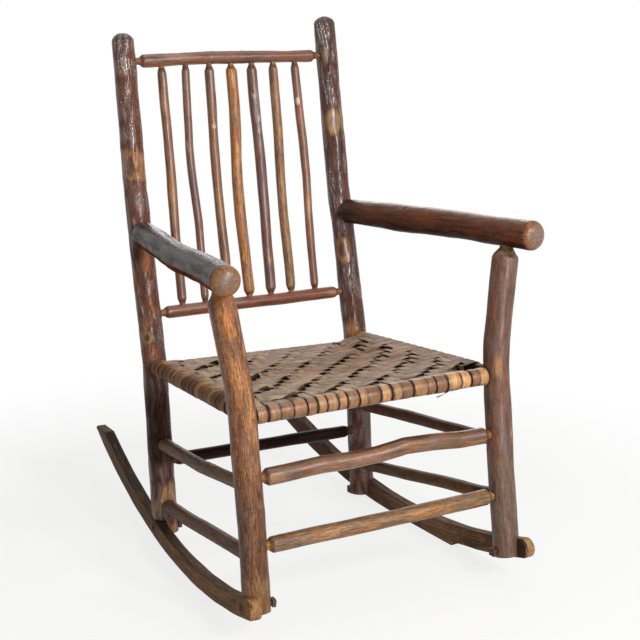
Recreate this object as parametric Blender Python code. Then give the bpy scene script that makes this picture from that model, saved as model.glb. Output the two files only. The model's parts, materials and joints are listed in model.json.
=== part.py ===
# A rustic rocking armchair: bark-on hickory saplings, round mortise and tenon joints, a double
# woven bark-splint seat and two sawn rockers lapped into the outer sides of the four posts.
# Front is -Y, left is -X as seen from the front, the floor is z = 0.
# Modelling places y = 0 at the line where the rockers touch the floor.

import bpy
import bmesh
from collections import namedtuple
from math import asin, ceil, cos, pi, radians, sin, sqrt, tan
from mathutils import Matrix, Vector

# Driving dimensions in metres, angles in degrees.

# fits
clearance = 0.0003

# seat frame in plan, measured on the post axes where the posts bend
front_bend_height = 0.371
rear_bend_height = 0.333
seat_ahead_of_contact = 0.278
seat_depth = 0.4515
front_half_width = 0.2485
rear_half_width = 0.2160

# front posts
front_foot_diameter = 0.0490
front_top_diameter = 0.0470
front_lean = 7.9
front_lean_above_seat = 5.5
front_splay = 8.8

# rear posts
rear_foot_diameter = 0.0490
rear_top_diameter = 0.0420
rear_lean = 5.3
rear_lean_above_seat = 13.3
rear_lean_above_arm = 9.6
rear_tilt_inward = 0.45
rear_bend_length = 0.080
rear_upper_bend_height = 0.620
post_dome_share = 0.80

# arms
arm_rear_height = 0.582
arm_rear_diameter = 0.0486
arm_front_diameter = 0.0520
arm_dome_share = 0.55
arm_tenon_diameter = 0.0260
arm_shoulder_round = 0.0060
post_tenon_diameter = 0.0240
post_cone_length = 0.0150

# back rails and spindles
crest_diameter_left = 0.0250
crest_diameter_right = 0.0238
lower_rail_diameter = 0.0240
back_rail_tenon_diameter = 0.0135
back_rail_tenon_show = 0.0070
back_rail_cone_length = 0.0070
spindle_count = 7
spindle_pitch_top = 0.0465
spindle_pitch_bottom = 0.0471
spindle_row_middle_top = 0.0010
spindle_row_middle_bottom = -0.0048
spindle_tenon_diameter = 0.0110
spindle_cone_length = 0.0100

# seat rails and the bark splint wound round them
seat_rail_diameter = 0.0270
seat_rail_tenon_diameter = 0.0180
seat_rail_cone_length = 0.0040
splint_thickness = 0.0026
splint_lift = 0.0005
splint_post_gap = 0.0006
side_slope_width = 0.1300
side_slope_inset = 0.0200

# stretchers
front_upper_height = 0.271
front_upper_diameter = 0.0305
front_lower_diameter = 0.0290
rear_stretcher_diameter = 0.0240
stretcher_tenon_diameter = 0.0165
front_tenon_show = 0.0040
side_tenon_show = 0.0010
stretcher_cone_length = 0.0050

# rockers
rocker_radius = 1.282
rocker_depth = 0.0350
rocker_thickness = 0.0205
rocker_front_reach = 0.368
rocker_tail_reach = 0.515
rocker_tail_bevel = 0.050
rocker_tail_blunt = 0.008
rocker_nose_bottom_radius = 0.014
rocker_nose_top_radius = 0.018
rocker_facet = 0.030
front_lap_offset = 0.0200
rear_lap_offset = 0.0150
cheek_lift = 0.0085
cheek_round = 0.0060

# fasteners
bolt_diameter = 0.0080
bolt_head_diameter = 0.0160
bolt_head_height = 0.0040
bolt_end_show = 0.0020
nut_width = 0.0135
nut_thickness = 0.0065
nail_diameter = 0.0026
nail_head_diameter = 0.0052
nail_head_thickness = 0.0012
nail_length = 0.0260

# joinery: how far a tenon's tip stops from the axis of the stick that holds it
tenon_tip_setback = 0.0030
tenon_tip_margin = 0.0015
spindle_tip_setback = 0.0040

# facets round a stick
post_sides = 12
rail_sides = 10
spindle_sides = 8

# What differs between the two sides of a hand-made chair.
Side = namedtuple("Side", "sign post_top arm_front_height arm_bow arm_overhang splay_height splay_length "
                          "crest_height lower_rail_height front_rail_height rear_rail_height "
                          "side_rail_front side_rail_rear front_lower_height rear_stretcher_height "
                          "upper_rear upper_front upper_bow lower_rear lower_front "
                          "upper_rear_diameter upper_front_diameter lower_diameter")
sides = {
    "left": Side(
        sign=-1.0, post_top=0.947, arm_front_height=0.615, arm_bow=-0.0045, arm_overhang=0.052,
        splay_height=0.395, splay_length=0.070, crest_height=0.8945, lower_rail_height=0.4325,
        front_rail_height=0.376, rear_rail_height=0.3265, side_rail_front=0.386, side_rail_rear=0.337,
        front_lower_height=0.155, rear_stretcher_height=0.152, upper_rear=0.190, upper_front=0.259,
        upper_bow=-0.0040, lower_rear=0.069, lower_front=0.139, upper_rear_diameter=0.0270,
        upper_front_diameter=0.0230, lower_diameter=0.0270),
    "right": Side(
        sign=1.0, post_top=0.957, arm_front_height=0.625, arm_bow=0.0020, arm_overhang=0.062,
        splay_height=0.410, splay_length=0.050, crest_height=0.8815, lower_rail_height=0.4260,
        front_rail_height=0.376, rear_rail_height=0.313, side_rail_front=0.374, side_rail_rear=0.333,
        front_lower_height=0.160, rear_stretcher_height=0.147, upper_rear=0.198, upper_front=0.255,
        upper_bow=0.0010, lower_rear=0.075, lower_front=0.155, upper_rear_diameter=0.0235,
        upper_front_diameter=0.0220, lower_diameter=0.0245),
}

# Natural humps along a stick: share of its length, height, half length as a share.
Hump = namedtuple("Hump", "share height spread")
crest_humps = [Hump(0.36, 0.0010, 0.34)]
front_upper_humps = [Hump(0.28, 0.0035, 0.18), Hump(0.63, 0.0085, 0.20)]

# Each spindle's diameter, how far its foot and head stray from even spacing, and its one sideways hump.
Spindle = namedtuple("Spindle", "diameter foot_stray head_stray hump")
spindles = [
    Spindle(0.0184, 0.0005, -0.0016, Hump(0.50, -0.0010, 0.40)),
    Spindle(0.0162, 0.0000, 0.0012, Hump(0.62, -0.0050, 0.36)),
    Spindle(0.0190, 0.0034, 0.0030, Hump(0.50, -0.0040, 0.44)),
    Spindle(0.0220, 0.0000, 0.0018, Hump(0.42, -0.0060, 0.40)),
    Spindle(0.0208, -0.0013, -0.0010, Hump(0.52, 0.0010, 0.40)),
    Spindle(0.0188, -0.0038, -0.0017, Hump(0.40, -0.0045, 0.38)),
    Spindle(0.0168, 0.0011, -0.0016, Hump(0.58, 0.0035, 0.38)),
]

# colour, roughness, metallic
finishes = {
    "dark_bark": ((0.110, 0.045, 0.028), 0.45, 0.0),
    "red_bark": ((0.155, 0.060, 0.035), 0.45, 0.0),
    "peeled_hickory": ((0.360, 0.180, 0.075), 0.50, 0.0),
    "arm_bark": ((0.100, 0.060, 0.042), 0.38, 0.0),
    "rocker_oak": ((0.115, 0.065, 0.040), 0.60, 0.0),
    "bark_splint": ((0.280, 0.175, 0.095), 0.62, 0.0),
    "rusty_iron": ((0.070, 0.040, 0.030), 0.70, 0.8),
}

up = Vector((0.0, 0.0, 1.0))
across = Vector((1.0, 0.0, 0.0))


# Scene set-up.

for old in list(bpy.data.objects):
    bpy.data.objects.remove(old, do_unlink=True)

chair = bpy.data.collections.new("rustic_rocking_chair")
bpy.context.scene.collection.children.link(chair)
cutter_room = bpy.data.collections.new("cutters")
bpy.context.scene.collection.children.link(cutter_room)

stand = bpy.data.objects.new("chair_origin", None)
chair.objects.link(stand)


def make_material(name):
    colour, roughness, metallic = finishes[name]
    material = bpy.data.materials.new(name)
    material.use_nodes = True
    shader = material.node_tree.nodes["Principled BSDF"]
    shader.inputs["Base Color"].default_value = (*colour, 1.0)
    shader.inputs["Roughness"].default_value = roughness
    shader.inputs["Metallic"].default_value = metallic
    return material


materials = {name: make_material(name) for name in finishes}


def add_piece(name, mesh, finish):
    """Put one named sub-part into the chair."""
    piece = bpy.data.objects.new(name, mesh)
    mesh.materials.clear()
    mesh.materials.append(materials[finish])
    mesh.shade_smooth()
    mesh.set_sharp_from_angle(angle=radians(40.0))
    piece.parent = stand
    chair.objects.link(piece)
    return piece


def add_cutter(name, mesh, place=None):
    """A tool that only removes wood: drawn as wire and left out of the chair."""
    cutter = bpy.data.objects.new(name, mesh)
    cutter.display_type = "WIRE"
    cutter.hide_render = True
    cutter.parent = stand
    if place is not None:
        cutter.matrix_local = place
    cutter_room.objects.link(cutter)
    return cutter


def combine(piece, other, operation):
    step = piece.modifiers.new(operation.lower() + "_" + other.name, "BOOLEAN")
    step.operation = operation
    step.solver = "EXACT"
    step.object = other


def cut(piece_name, cutter):
    combine(chair.objects[piece_name], cutter, "DIFFERENCE")


# Shape helpers.

def ramp(distance, length):
    """0 before a bend, the distance after it, and a soft parabola over its length."""
    if distance <= -length / 2:
        return 0.0
    if distance >= length / 2:
        return distance
    return (distance + length / 2) ** 2 / (2 * length)


def hump_offset(humps, share):
    """Raised-cosine humps added along a stick."""
    total = 0.0
    for hump in humps:
        reach = (share - hump.share) / hump.spread
        if abs(reach) < 1.0:
            total += hump.height * 0.5 * (1.0 + cos(pi * reach))
    return total


def frame_along(start, direction, sideways=None):
    """A placement whose local z runs along a direction."""
    z_axis = direction.normalized()
    hint = sideways if sideways is not None else (up if abs(z_axis.z) < 0.9 else across)
    x_axis = (hint - z_axis * hint.dot(z_axis)).normalized()
    y_axis = z_axis.cross(x_axis)
    turn = Matrix((x_axis, y_axis, z_axis)).transposed().to_4x4()
    return Matrix.Translation(start) @ turn


def mesh_of_curve(curve):
    """The closed, welded mesh of a curve with filled caps."""
    holder = bpy.data.objects.new(curve.name, curve)
    bpy.context.scene.collection.objects.link(holder)
    depsgraph = bpy.context.evaluated_depsgraph_get()
    mesh = bpy.data.meshes.new_from_object(holder.evaluated_get(depsgraph))
    bpy.data.objects.remove(holder, do_unlink=True)
    bpy.data.curves.remove(curve)
    work = bmesh.new()
    work.from_mesh(mesh)
    bmesh.ops.remove_doubles(work, verts=work.verts, dist=0.00001)
    bmesh.ops.recalc_face_normals(work, faces=work.faces)
    work.to_mesh(mesh)
    work.free()
    return mesh


def stick_mesh(name, stations, facets):
    """A round stick through (centre, radius) stations."""
    curve = bpy.data.curves.new(name, "CURVE")
    curve.dimensions = "3D"
    curve.bevel_depth = 1.0
    curve.bevel_resolution = (facets - 4) // 2
    curve.use_fill_caps = True
    spline = curve.splines.new("POLY")
    spline.points.add(len(stations) - 1)
    for point, (centre, radius) in zip(spline.points, stations):
        point.co = (*centre, 1.0)
        point.radius = radius
    return mesh_of_curve(curve)


def turned_mesh(name, profile, facets):
    """A profile of (radius, z) points, top to bottom, turned about z."""
    work = bmesh.new()
    points = [work.verts.new((radius, 0.0, z)) for radius, z in profile]
    for first, second in zip(points, points[1:]):
        work.edges.new((first, second))
    outline = work.verts[:] + work.edges[:]
    bmesh.ops.spin(work, geom=outline, axis=up, cent=(0, 0, 0), angle=2 * pi, steps=facets,
                   use_merge=True, use_duplicate=False)
    bmesh.ops.remove_doubles(work, verts=work.verts, dist=0.00001)
    bmesh.ops.recalc_face_normals(work, faces=work.faces)
    mesh = bpy.data.meshes.new(name)
    work.to_mesh(mesh)
    work.free()
    return mesh


def rod_mesh(name, radius, length, facets):
    """A cylinder standing on its own origin."""
    work = bmesh.new()
    bmesh.ops.create_cone(work, cap_ends=True, segments=facets, radius1=radius, radius2=radius, depth=length,
                          matrix=Matrix.Translation((0, 0, length / 2)))
    mesh = bpy.data.meshes.new(name)
    work.to_mesh(mesh)
    work.free()
    return mesh


def outside_radius(radius, facets):
    """The corner radius of a facetted hole that clears a round of this radius."""
    return radius / cos(pi / facets)


# Post axes.

seat_front_y = -seat_ahead_of_contact
seat_rear_y = seat_front_y + seat_depth


def front_axis(side, z):
    """Leans back all the way up, and splays outwards above the seat."""
    slope = tan(radians(front_lean))
    upper_slope = tan(radians(front_lean_above_seat))
    splay = tan(radians(front_splay))
    y = seat_front_y + slope * (z - front_bend_height)
    y += (upper_slope - slope) * ramp(z - front_bend_height, side.splay_length)
    x = front_half_width + splay * ramp(z - side.splay_height, 2 * side.splay_length)
    return Vector((side.sign * x, y, z))


def rear_axis(side, z):
    """Leans back little below the seat, most between seat and arm, and less above."""
    slope = tan(radians(rear_lean))
    middle_slope = tan(radians(rear_lean_above_seat))
    upper_slope = tan(radians(rear_lean_above_arm))
    y = seat_rear_y + slope * (z - rear_bend_height)
    y += (middle_slope - slope) * ramp(z - rear_bend_height, rear_bend_length)
    y += (upper_slope - middle_slope) * ramp(z - rear_upper_bend_height, rear_bend_length)
    x = rear_half_width - tan(radians(rear_tilt_inward)) * ramp(z - rear_bend_height, rear_bend_length)
    return Vector((side.sign * x, y, z))


def front_radius(z):
    share = z / sides["left"].arm_front_height
    return (front_foot_diameter + (front_top_diameter - front_foot_diameter) * share) / 2


def rear_radius(z):
    share = z / sides["left"].post_top
    return (rear_foot_diameter + (rear_top_diameter - rear_foot_diameter) * share) / 2


# A post's name, axis, radius and how far outside its axis the rocker's middle lies.
Post = namedtuple("Post", "name axis radius_of lap_offset")
posts = {
    "front": Post("front_post", front_axis, front_radius, front_lap_offset),
    "rear": Post("rear_post", rear_axis, rear_radius, rear_lap_offset),
}

# A place on a holding stick: its name, the point on its axis, the axis direction and its radius there.
Joint = namedtuple("Joint", "host point axis radius")


def post_joint(end, label, z):
    post = posts[end]
    side = sides[label]
    radius = post.radius_of(z)
    direction = (post.axis(side, z + radius) - post.axis(side, z - radius)).normalized()
    return Joint(post.name + "_" + label, post.axis(side, z), direction, radius)


def seat_distance(joint, direction, radius):
    """How far from the holder's axis a flat shoulder of this radius clears the holder's round side."""
    tilt = asin(min(abs(joint.axis.dot(direction)), 1.0))
    return (joint.radius + radius * sin(tilt)) / cos(tilt) + clearance


# Rockers.

rocker_top_radius = rocker_radius - rocker_depth


def arc_height(radius, along):
    """Height of a rocker arc over the floor, at a distance from the contact line."""
    return rocker_radius - sqrt(radius ** 2 - along ** 2)


def lap_point(post, side):
    """Where a post's axis passes the rocker's mid height."""
    z = rocker_depth / 2
    for _ in range(4):
        middle = post.axis(side, z)
        z = arc_height(rocker_radius - rocker_depth / 2, middle.y)
    return post.axis(side, z)


def rocker_line(side):
    """Plan direction of a rocker, its outward normal, and the point above its contact."""
    outward = across * side.sign
    front, rear = (lap_point(post, side) + outward * post.lap_offset for post in posts.values())
    direction = Vector((rear.x - front.x, rear.y - front.y, 0.0)).normalized()
    normal = Vector((direction.y, -direction.x, 0.0))
    if normal.dot(outward) < 0:
        normal.negate()
    contact = front - direction * (front.y / direction.y)
    return direction, normal, Vector((contact.x, contact.y, 0.0))


def rocker_outline():
    """The rocker seen from the side: two arcs, a rounded nose and a tail cut nearly level."""
    step = rocker_facet / rocker_radius
    corner_radius = outside_radius(rocker_radius, pi / (step / 2))

    def at(angle, lift):
        radius = corner_radius * (rocker_radius - lift) / rocker_radius
        return radius * sin(angle), rocker_radius - radius * cos(angle)

    def facets(first, last):
        count = int(max(-first, last) / step) + 1
        inner = [(k + 0.5) * step for k in range(-count, count)]
        return [first] + [a for a in inner if first + step / 4 < a < last - step / 4] + [last]

    def corner(centre, radius, first_turn):
        turns = [radians(first_turn + 22.5 * k) for k in range(1, 4)]
        return [(centre[0] - radius * sin(turn), centre[1] - radius * cos(turn)) for turn in turns]

    tail = asin(rocker_tail_reach / corner_radius)
    tail_top = asin((rocker_tail_reach - rocker_tail_bevel) / corner_radius)
    nose_bottom = -asin((rocker_front_reach - rocker_nose_bottom_radius) / corner_radius)
    nose_top = -asin((rocker_front_reach - rocker_nose_top_radius) / rocker_top_radius)
    bottom = [at(angle, 0.0) for angle in facets(nose_bottom, tail)]
    top = [at(angle, rocker_depth) for angle in facets(nose_top, tail_top)]
    low_x, low_z = bottom[0]
    high_x, high_z = top[0]
    front_low = (-rocker_front_reach, low_z + rocker_nose_bottom_radius)
    front_high = (-rocker_front_reach, high_z - rocker_nose_top_radius)
    low_round = corner((low_x, low_z + rocker_nose_bottom_radius), rocker_nose_bottom_radius, 0.0)
    high_round = corner((high_x, high_z - rocker_nose_top_radius), rocker_nose_top_radius, 90.0)
    nose = high_round[::-1] + [front_high, front_low] + low_round[::-1]
    return bottom + [at(tail, rocker_tail_blunt)] + top[::-1] + nose


def make_rocker(label, side):
    direction, normal, contact = rocker_line(side)
    name = "rocker_" + label
    curve = bpy.data.curves.new(name, "CURVE")
    curve.dimensions = "2D"
    curve.fill_mode = "BOTH"
    curve.extrude = rocker_thickness / 2
    outline = rocker_outline()
    spline = curve.splines.new("POLY")
    spline.points.add(len(outline) - 1)
    for point, (along, z) in zip(spline.points, outline):
        point.co = (along, z, 0.0, 1.0)
    spline.use_cyclic_u = True
    mesh = mesh_of_curve(curve)
    turn = Matrix((direction, up, direction.cross(up))).transposed().to_4x4()
    mesh.transform(Matrix.Translation(contact) @ turn)
    return add_piece(name, mesh, "rocker_oak")


# Posts.

def dome(centre, direction, radius, share):
    """Stations that round off the end of a stick."""
    turns = [radians(angle) for angle in (25, 48, 68, 84)]
    return [(centre + direction * radius * share * sin(turn), radius * cos(turn)) for turn in turns]


def foot_height(end, side):
    """The post's cheek stops just above the rocker's lower edge."""
    return arc_height(rocker_radius, lap_point(posts[end], side).y) + cheek_lift


def heights(low, high, count):
    return [low + (high - low) * k / (count - 1) for k in range(count)]


def make_rear_post(label, side):
    foot = foot_height("rear", side)
    radius = rear_radius(side.post_top)
    shoulder = side.post_top - radius * post_dome_share
    stations = [(rear_axis(side, foot), rear_radius(foot) * 0.80)]
    stations += [(rear_axis(side, z), rear_radius(z)) for z in heights(foot + cheek_round, shoulder, 15)]
    direction = (rear_axis(side, shoulder) - rear_axis(side, shoulder - radius)).normalized()
    stations += dome(stations[-1][0], direction, rear_radius(shoulder), post_dome_share)
    return add_piece("rear_post_" + label, stick_mesh("rear_post", stations, post_sides), "dark_bark")


def make_front_post(label, side):
    """Foot, body, a pale cone cut by hand and the tenon that enters the arm."""
    foot = foot_height("front", side)
    joint = front_axis(side, side.arm_front_height)
    root = side.arm_front_height - arm_radius_at(label, joint) - side_tenon_show
    shoulder = root - post_cone_length
    tip = side.arm_front_height - tenon_tip_setback
    tenon = post_tenon_diameter / 2
    stations = [(front_axis(side, foot), front_radius(foot) * 0.85)]
    stations += [(front_axis(side, z), front_radius(z)) for z in heights(foot + cheek_round, shoulder, 12)]
    stations += [(front_axis(side, root), tenon), (front_axis(side, tip), tenon)]
    name = "front_post_" + label
    finish = "red_bark" if label == "right" else "peeled_hickory"
    add_piece(name, stick_mesh(name, stations, post_sides), finish)
    bore("arm_" + label, front_axis(side, tip), front_axis(side, root), tenon)


# Sticks tenoned between two holders.

def bore(host, tip, root, radius, facets=post_sides):
    """A blind hole in a host for a round tenon."""
    direction = (root - tip).normalized()
    start = tip - direction * clearance
    length = (root - start).length + clearance
    mesh = rod_mesh("bore", outside_radius(radius + clearance, facets), length, facets)
    cut(host, add_cutter("bore_" + host, mesh, frame_along(start, direction)))


def path_between(start, end, humps, bow):
    """Points along a stick: its chord plus its natural humps."""
    def point(share):
        return start.lerp(end, share) + bow * hump_offset(humps, share)
    return point


Tenon = namedtuple("Tenon", "diameter setback show cone")


def make_rail(name, joints, diameters, tenons, finish, humps=(), bow=up, facets=rail_sides, body_stations=9):
    """A stick with a tenon bored into the holder at each end."""
    start, end = joints
    path = path_between(start.point, end.point, humps, bow)
    chord = end.point - start.point
    length = chord.length

    def at(distance):
        return path(distance / length)

    first, last = tenons
    root_gaps = []
    body_gaps = []
    for joint, tenon, diameter in zip(joints, tenons, diameters):
        root = seat_distance(joint, chord.normalized(), tenon.diameter / 2) + tenon.show
        shoulder = seat_distance(joint, chord.normalized(), diameter / 2)
        root_gaps.append(root)
        body_gaps.append(max(root + tenon.cone, shoulder))
    low_root, high_root = root_gaps[0], length - root_gaps[1]
    low_body, high_body = body_gaps[0], length - body_gaps[1]
    tips = at(first.setback), at(length - last.setback)
    roots = at(low_root), at(high_root)
    stations = [(tips[0], first.diameter / 2), (roots[0], first.diameter / 2)]
    for distance in heights(low_body, high_body, body_stations):
        share = distance / length
        stations.append((at(distance), (diameters[0] + (diameters[1] - diameters[0]) * share) / 2))
    stations += [(roots[1], last.diameter / 2), (tips[1], last.diameter / 2)]
    add_piece(name, stick_mesh(name, stations, facets), finish)
    for joint, tenon, tip, root in zip(joints, tenons, tips, roots):
        bore(joint.host, tip, root, tenon.diameter / 2)
    return path


# Arms.

def arm_line(label):
    """Rear joint on the rear post's axis, joint over the front post, and the dome's centre."""
    side = sides[label]
    rear = rear_axis(side, arm_rear_height)
    front = front_axis(side, side.arm_front_height)
    return rear, front, front + (front - rear).normalized() * side.arm_overhang


def arm_radius_at(label, point):
    rear, _, end = arm_line(label)
    share = (point - rear).length / (end - rear).length
    return (arm_rear_diameter + (arm_front_diameter - arm_rear_diameter) * share) / 2


def arm_path(label):
    """The arm's own bow fades out before the joint over the front post."""
    rear, front, end = arm_line(label)
    reach = (front - rear).length / (end - rear).length
    return path_between(rear, end, [Hump(reach * 0.55, sides[label].arm_bow, reach * 0.42)], up)


def make_arm(label):
    rear, _, end = arm_line(label)
    path = arm_path(label)
    length = (end - rear).length
    direction = (end - rear).normalized()
    tenon = arm_tenon_diameter / 2
    shoulder = arm_rear_diameter / 2
    seat = seat_distance(post_joint("rear", label, arm_rear_height), direction, shoulder)
    tip = path(tenon_tip_setback / length)
    root = path(seat / length)
    stations = [(tip, tenon), (root, tenon)]
    round_over = [radians(angle) for angle in (0, 30, 60, 90)]
    for turn in round_over:
        advance = arm_shoulder_round * (1.0 - cos(turn)) + clearance
        stations.append((root + direction * advance, shoulder - arm_shoulder_round * (1.0 - sin(turn))))
    body_start = (seat + 2 * arm_shoulder_round) / length
    for share in heights(body_start, 1.0, 10):
        stations.append((path(share), arm_radius_at(label, path(share))))
    stations += dome(end, direction, arm_front_diameter / 2, arm_dome_share)
    name = "arm_" + label
    add_piece(name, stick_mesh(name, stations, post_sides), "arm_bark")
    bore("rear_post_" + label, tip, root, tenon)


# Laps and bolts that hold the rockers.

def make_lap(label, post):
    """Saw the outer part of a post's foot away to seat the rocker."""
    side = sides[label]
    direction, normal, contact = rocker_line(side)
    middle = lap_point(post, side)
    along = (middle - contact).dot(direction)
    slope = along / sqrt(rocker_top_radius ** 2 - along ** 2)
    tangent = (direction + up * slope).normalized()
    rise = tangent.cross(normal)
    if rise.z < 0:
        rise.negate()
    half = post.radius_of(middle.z) * 1.2
    sag = half ** 2 / (2 * rocker_top_radius)
    top = contact + direction * along + up * (arc_height(rocker_top_radius, along) + clearance + sag)
    reach = rocker_thickness * 4
    corner = top + normal * (-rocker_thickness / 2 - clearance)
    work = bmesh.new()
    bmesh.ops.create_cube(work, size=1.0)
    bmesh.ops.scale(work, vec=(4 * half, reach, reach), verts=work.verts)
    bmesh.ops.translate(work, vec=(0, reach / 2, -reach / 2), verts=work.verts)
    mesh = bpy.data.meshes.new("lap")
    work.to_mesh(mesh)
    work.free()
    turn = Matrix((normal.cross(rise), normal, rise)).transposed().to_4x4()
    name = post.name + "_" + label
    cut(name, add_cutter("lap_" + name, mesh, Matrix.Translation(corner) @ turn))


def bolt_profile(shank, head, top, length):
    """A low domed head over a plain shank, from the top down."""
    bend = [(head * sin(t), top * cos(t)) for t in (radians(a) for a in (0, 40, 70, 90))]
    return bend + [(shank, 0.0), (shank, -length), (0.0, -length)]


def make_rocker_bolt(label, end, post):
    """A carriage bolt through rocker and cheek, with a square nut inside."""
    side = sides[label]
    direction, normal, contact = rocker_line(side)
    middle = lap_point(post, side)
    along = (middle - contact).dot(direction)
    height = arc_height(rocker_radius - rocker_depth / 2, along)
    face = contact + direction * along + up * height + normal * (rocker_thickness / 2 + clearance)
    cheek = post.lap_offset + post.radius_of(height) + rocker_thickness / 2 + 3 * clearance
    length = cheek + nut_thickness + bolt_end_show
    shank = bolt_diameter / 2
    place = frame_along(face, normal)
    tag = end + "_" + label
    profile = bolt_profile(shank, bolt_head_diameter / 2, bolt_head_height, length)
    bolt = add_piece("rocker_bolt_" + tag, turned_mesh("rocker_bolt", profile, 8), "rusty_iron")
    bolt.matrix_local = place
    hole = rod_mesh("bolt_hole", outside_radius(shank + clearance, 8), length + 2 * rocker_thickness, 8)
    drill = add_cutter("bolt_hole_" + tag, hole, frame_along(face + normal * rocker_thickness, -normal))
    work = bmesh.new()
    bmesh.ops.create_cube(work, size=1.0)
    bmesh.ops.scale(work, vec=(nut_width, nut_width, nut_thickness), verts=work.verts)
    nut_mesh = bpy.data.meshes.new("rocker_nut")
    work.to_mesh(nut_mesh)
    work.free()
    nut = add_piece("rocker_nut_" + tag, nut_mesh, "rusty_iron")
    nut.matrix_local = frame_along(face - normal * (cheek + nut_thickness / 2), normal)
    for piece in ("rocker_" + label, post.name + "_" + label, nut.name):
        cut(piece, drill)


# Nails that pin the main tenons.

def nail_profile(margin, head_room):
    """Head and shank from the top down; a margin and head room make its hole."""
    head = nail_head_diameter / 2 + margin
    shank = nail_diameter / 2 + margin
    under_head = -nail_head_thickness - margin
    tip = -nail_length - margin
    head_side = [(0.0, head_room), (head, head_room), (head, under_head)]
    return head_side + [(shank, under_head), (shank, tip), (0.0, tip)]


def make_nail(name, joint, toward_rail, outward, rail_name):
    """Driven through the holder's side into the tenon, one head's width from its tip."""
    offset = tenon_tip_setback + nail_head_diameter
    outward = (outward - toward_rail * outward.dot(toward_rail)).normalized()
    surface = sqrt(joint.radius ** 2 - offset ** 2) * cos(pi / post_sides)
    head = joint.point + toward_rail * offset + outward * surface
    place = frame_along(head, outward)
    nail = add_piece(name, turned_mesh("nail", nail_profile(0.0, 0.0), 6), "rusty_iron")
    nail.matrix_local = place
    hole = turned_mesh("nail_hole", nail_profile(clearance / cos(pi / 6), nail_head_diameter), 6)
    drill = add_cutter("hole_" + name, hole, place)
    for piece in (joint.host, rail_name):
        cut(piece, drill)


# The woven seat: bark splint wound round the four rails, over and under.

def wrap_mesh(name, lines, radius, normal, facets=12):
    """A taut winding: the hull of a ring at each end of each (start, end) line."""
    work = bmesh.new()
    for start, end in lines:
        direction = (end - start).normalized()
        sideways = direction.cross(normal).normalized()
        lift = sideways.cross(direction)
        for centre in (start, end):
            for k in range(facets):
                turn = 2 * pi * k / facets
                work.verts.new(centre + (lift * cos(turn) + sideways * sin(turn)) * radius)
    hull = bmesh.ops.convex_hull(work, input=work.verts)
    inside = [item for item in hull["geom_interior"] if isinstance(item, bmesh.types.BMVert)]
    bmesh.ops.delete(work, geom=inside, context="VERTS")
    bmesh.ops.recalc_face_normals(work, faces=work.faces)
    bmesh.ops.dissolve_limit(work, angle_limit=radians(0.5), verts=work.verts, edges=work.edges)
    mesh = bpy.data.meshes.new(name)
    work.to_mesh(mesh)
    work.free()
    return mesh


def winding_ends(joints, radius, longer):
    """Where on a rail a winding of this radius starts and ends beside the posts."""
    start, end = joints
    direction = (end.point - start.point).normalized()
    gaps = [seat_distance(joint, direction, radius) + splint_post_gap - longer for joint in joints]
    return start.point + direction * gaps[0], end.point - direction * gaps[1]


def make_seat(rails):
    """A winding over the front and rear rails, and one that slopes up to each side rail, hollow inside."""
    rear_left, rear_right = (joint.point for joint in rails["rear"])
    front_left, front_right = (joint.point for joint in rails["front"])
    normal = (front_right - front_left).cross(rear_left - front_left).normalized()
    inner = seat_rail_diameter / 2 + clearance
    outer = inner + splint_thickness
    clear = outer + splint_lift

    def front_lines(longer):
        return [winding_ends(rails[end], clear, longer) for end in ("rear", "front")]

    def side_lines(label, longer):
        """The side rail, and a line under the front-to-back winding where the slope starts."""
        rear, front = winding_ends(rails[label], clear, longer)
        toward = across * -sides[label].sign * side_slope_width
        run = (front - rear).normalized() * (side_slope_inset - longer)
        foot = [rear_left, front_left] if label == "left" else [rear_right, front_right]
        chord = foot[1] - foot[0]
        below = [foot[0] + chord * ((point - foot[0]).dot(chord) / chord.length_squared) + toward
                 for point in (rear + run, front - run)]
        return [(rear, front), tuple(below)]

    seat = add_piece("woven_seat", wrap_mesh("woven_seat", front_lines(0.0), outer, normal), "bark_splint")
    for label in sides:
        side_wrap = wrap_mesh("side_winding", side_lines(label, 0.0), outer + splint_lift, normal)
        combine(seat, add_cutter("side_winding_" + label, side_wrap), "UNION")
    hollow = outside_radius(inner, 12)
    longer = 4 * splint_thickness
    rooms = [("front", front_lines(longer), hollow)]
    rooms += [(label, side_lines(label, longer), hollow + splint_lift) for label in sides]
    for name, lines, radius in rooms:
        combine(seat, add_cutter("hollow_" + name, wrap_mesh("hollow", lines, radius, normal)), "DIFFERENCE")


# Assembly.

for label, side in sides.items():
    make_rocker(label, side)
    make_rear_post(label, side)
    make_arm(label)
    make_front_post(label, side)
    for end, post in posts.items():
        make_lap(label, post)
        make_rocker_bolt(label, end, post)


def across_joints(end, field):
    """The joints of a stick that runs across the chair, at each side's own height."""
    return [post_joint(end, label, getattr(side, field)) for label, side in sides.items()]


def along_joints(label, rear_field, front_field):
    """The joints of a stick that runs along one side."""
    side = sides[label]
    return [post_joint("rear", label, getattr(side, rear_field)),
            post_joint("front", label, getattr(side, front_field))]


# Back: crest, lower rail and spindles.
back_tenon = Tenon(back_rail_tenon_diameter, tenon_tip_setback, back_rail_tenon_show, back_rail_cone_length)
crest_ends = across_joints("rear", "crest_height")
lower_ends = across_joints("rear", "lower_rail_height")
crest_size = (crest_diameter_left, crest_diameter_right)
lower_size = (lower_rail_diameter, lower_rail_diameter)
crest_path = make_rail("crest_rail", crest_ends, crest_size, (back_tenon, back_tenon), "red_bark",
                       crest_humps)
lower_path = make_rail("lower_back_rail", lower_ends, lower_size, (back_tenon, back_tenon), "red_bark",
                       body_stations=4)


def on_rail(host, path, ends, diameters, x):
    """A joint on a back rail at a place across the chair."""
    left, right = (joint.point.x for joint in ends)
    share = (x - left) / (right - left)
    chord = (ends[1].point - ends[0].point).normalized()
    return Joint(host, path(share), chord, (diameters[0] + (diameters[1] - diameters[0]) * share) / 2)


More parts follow.
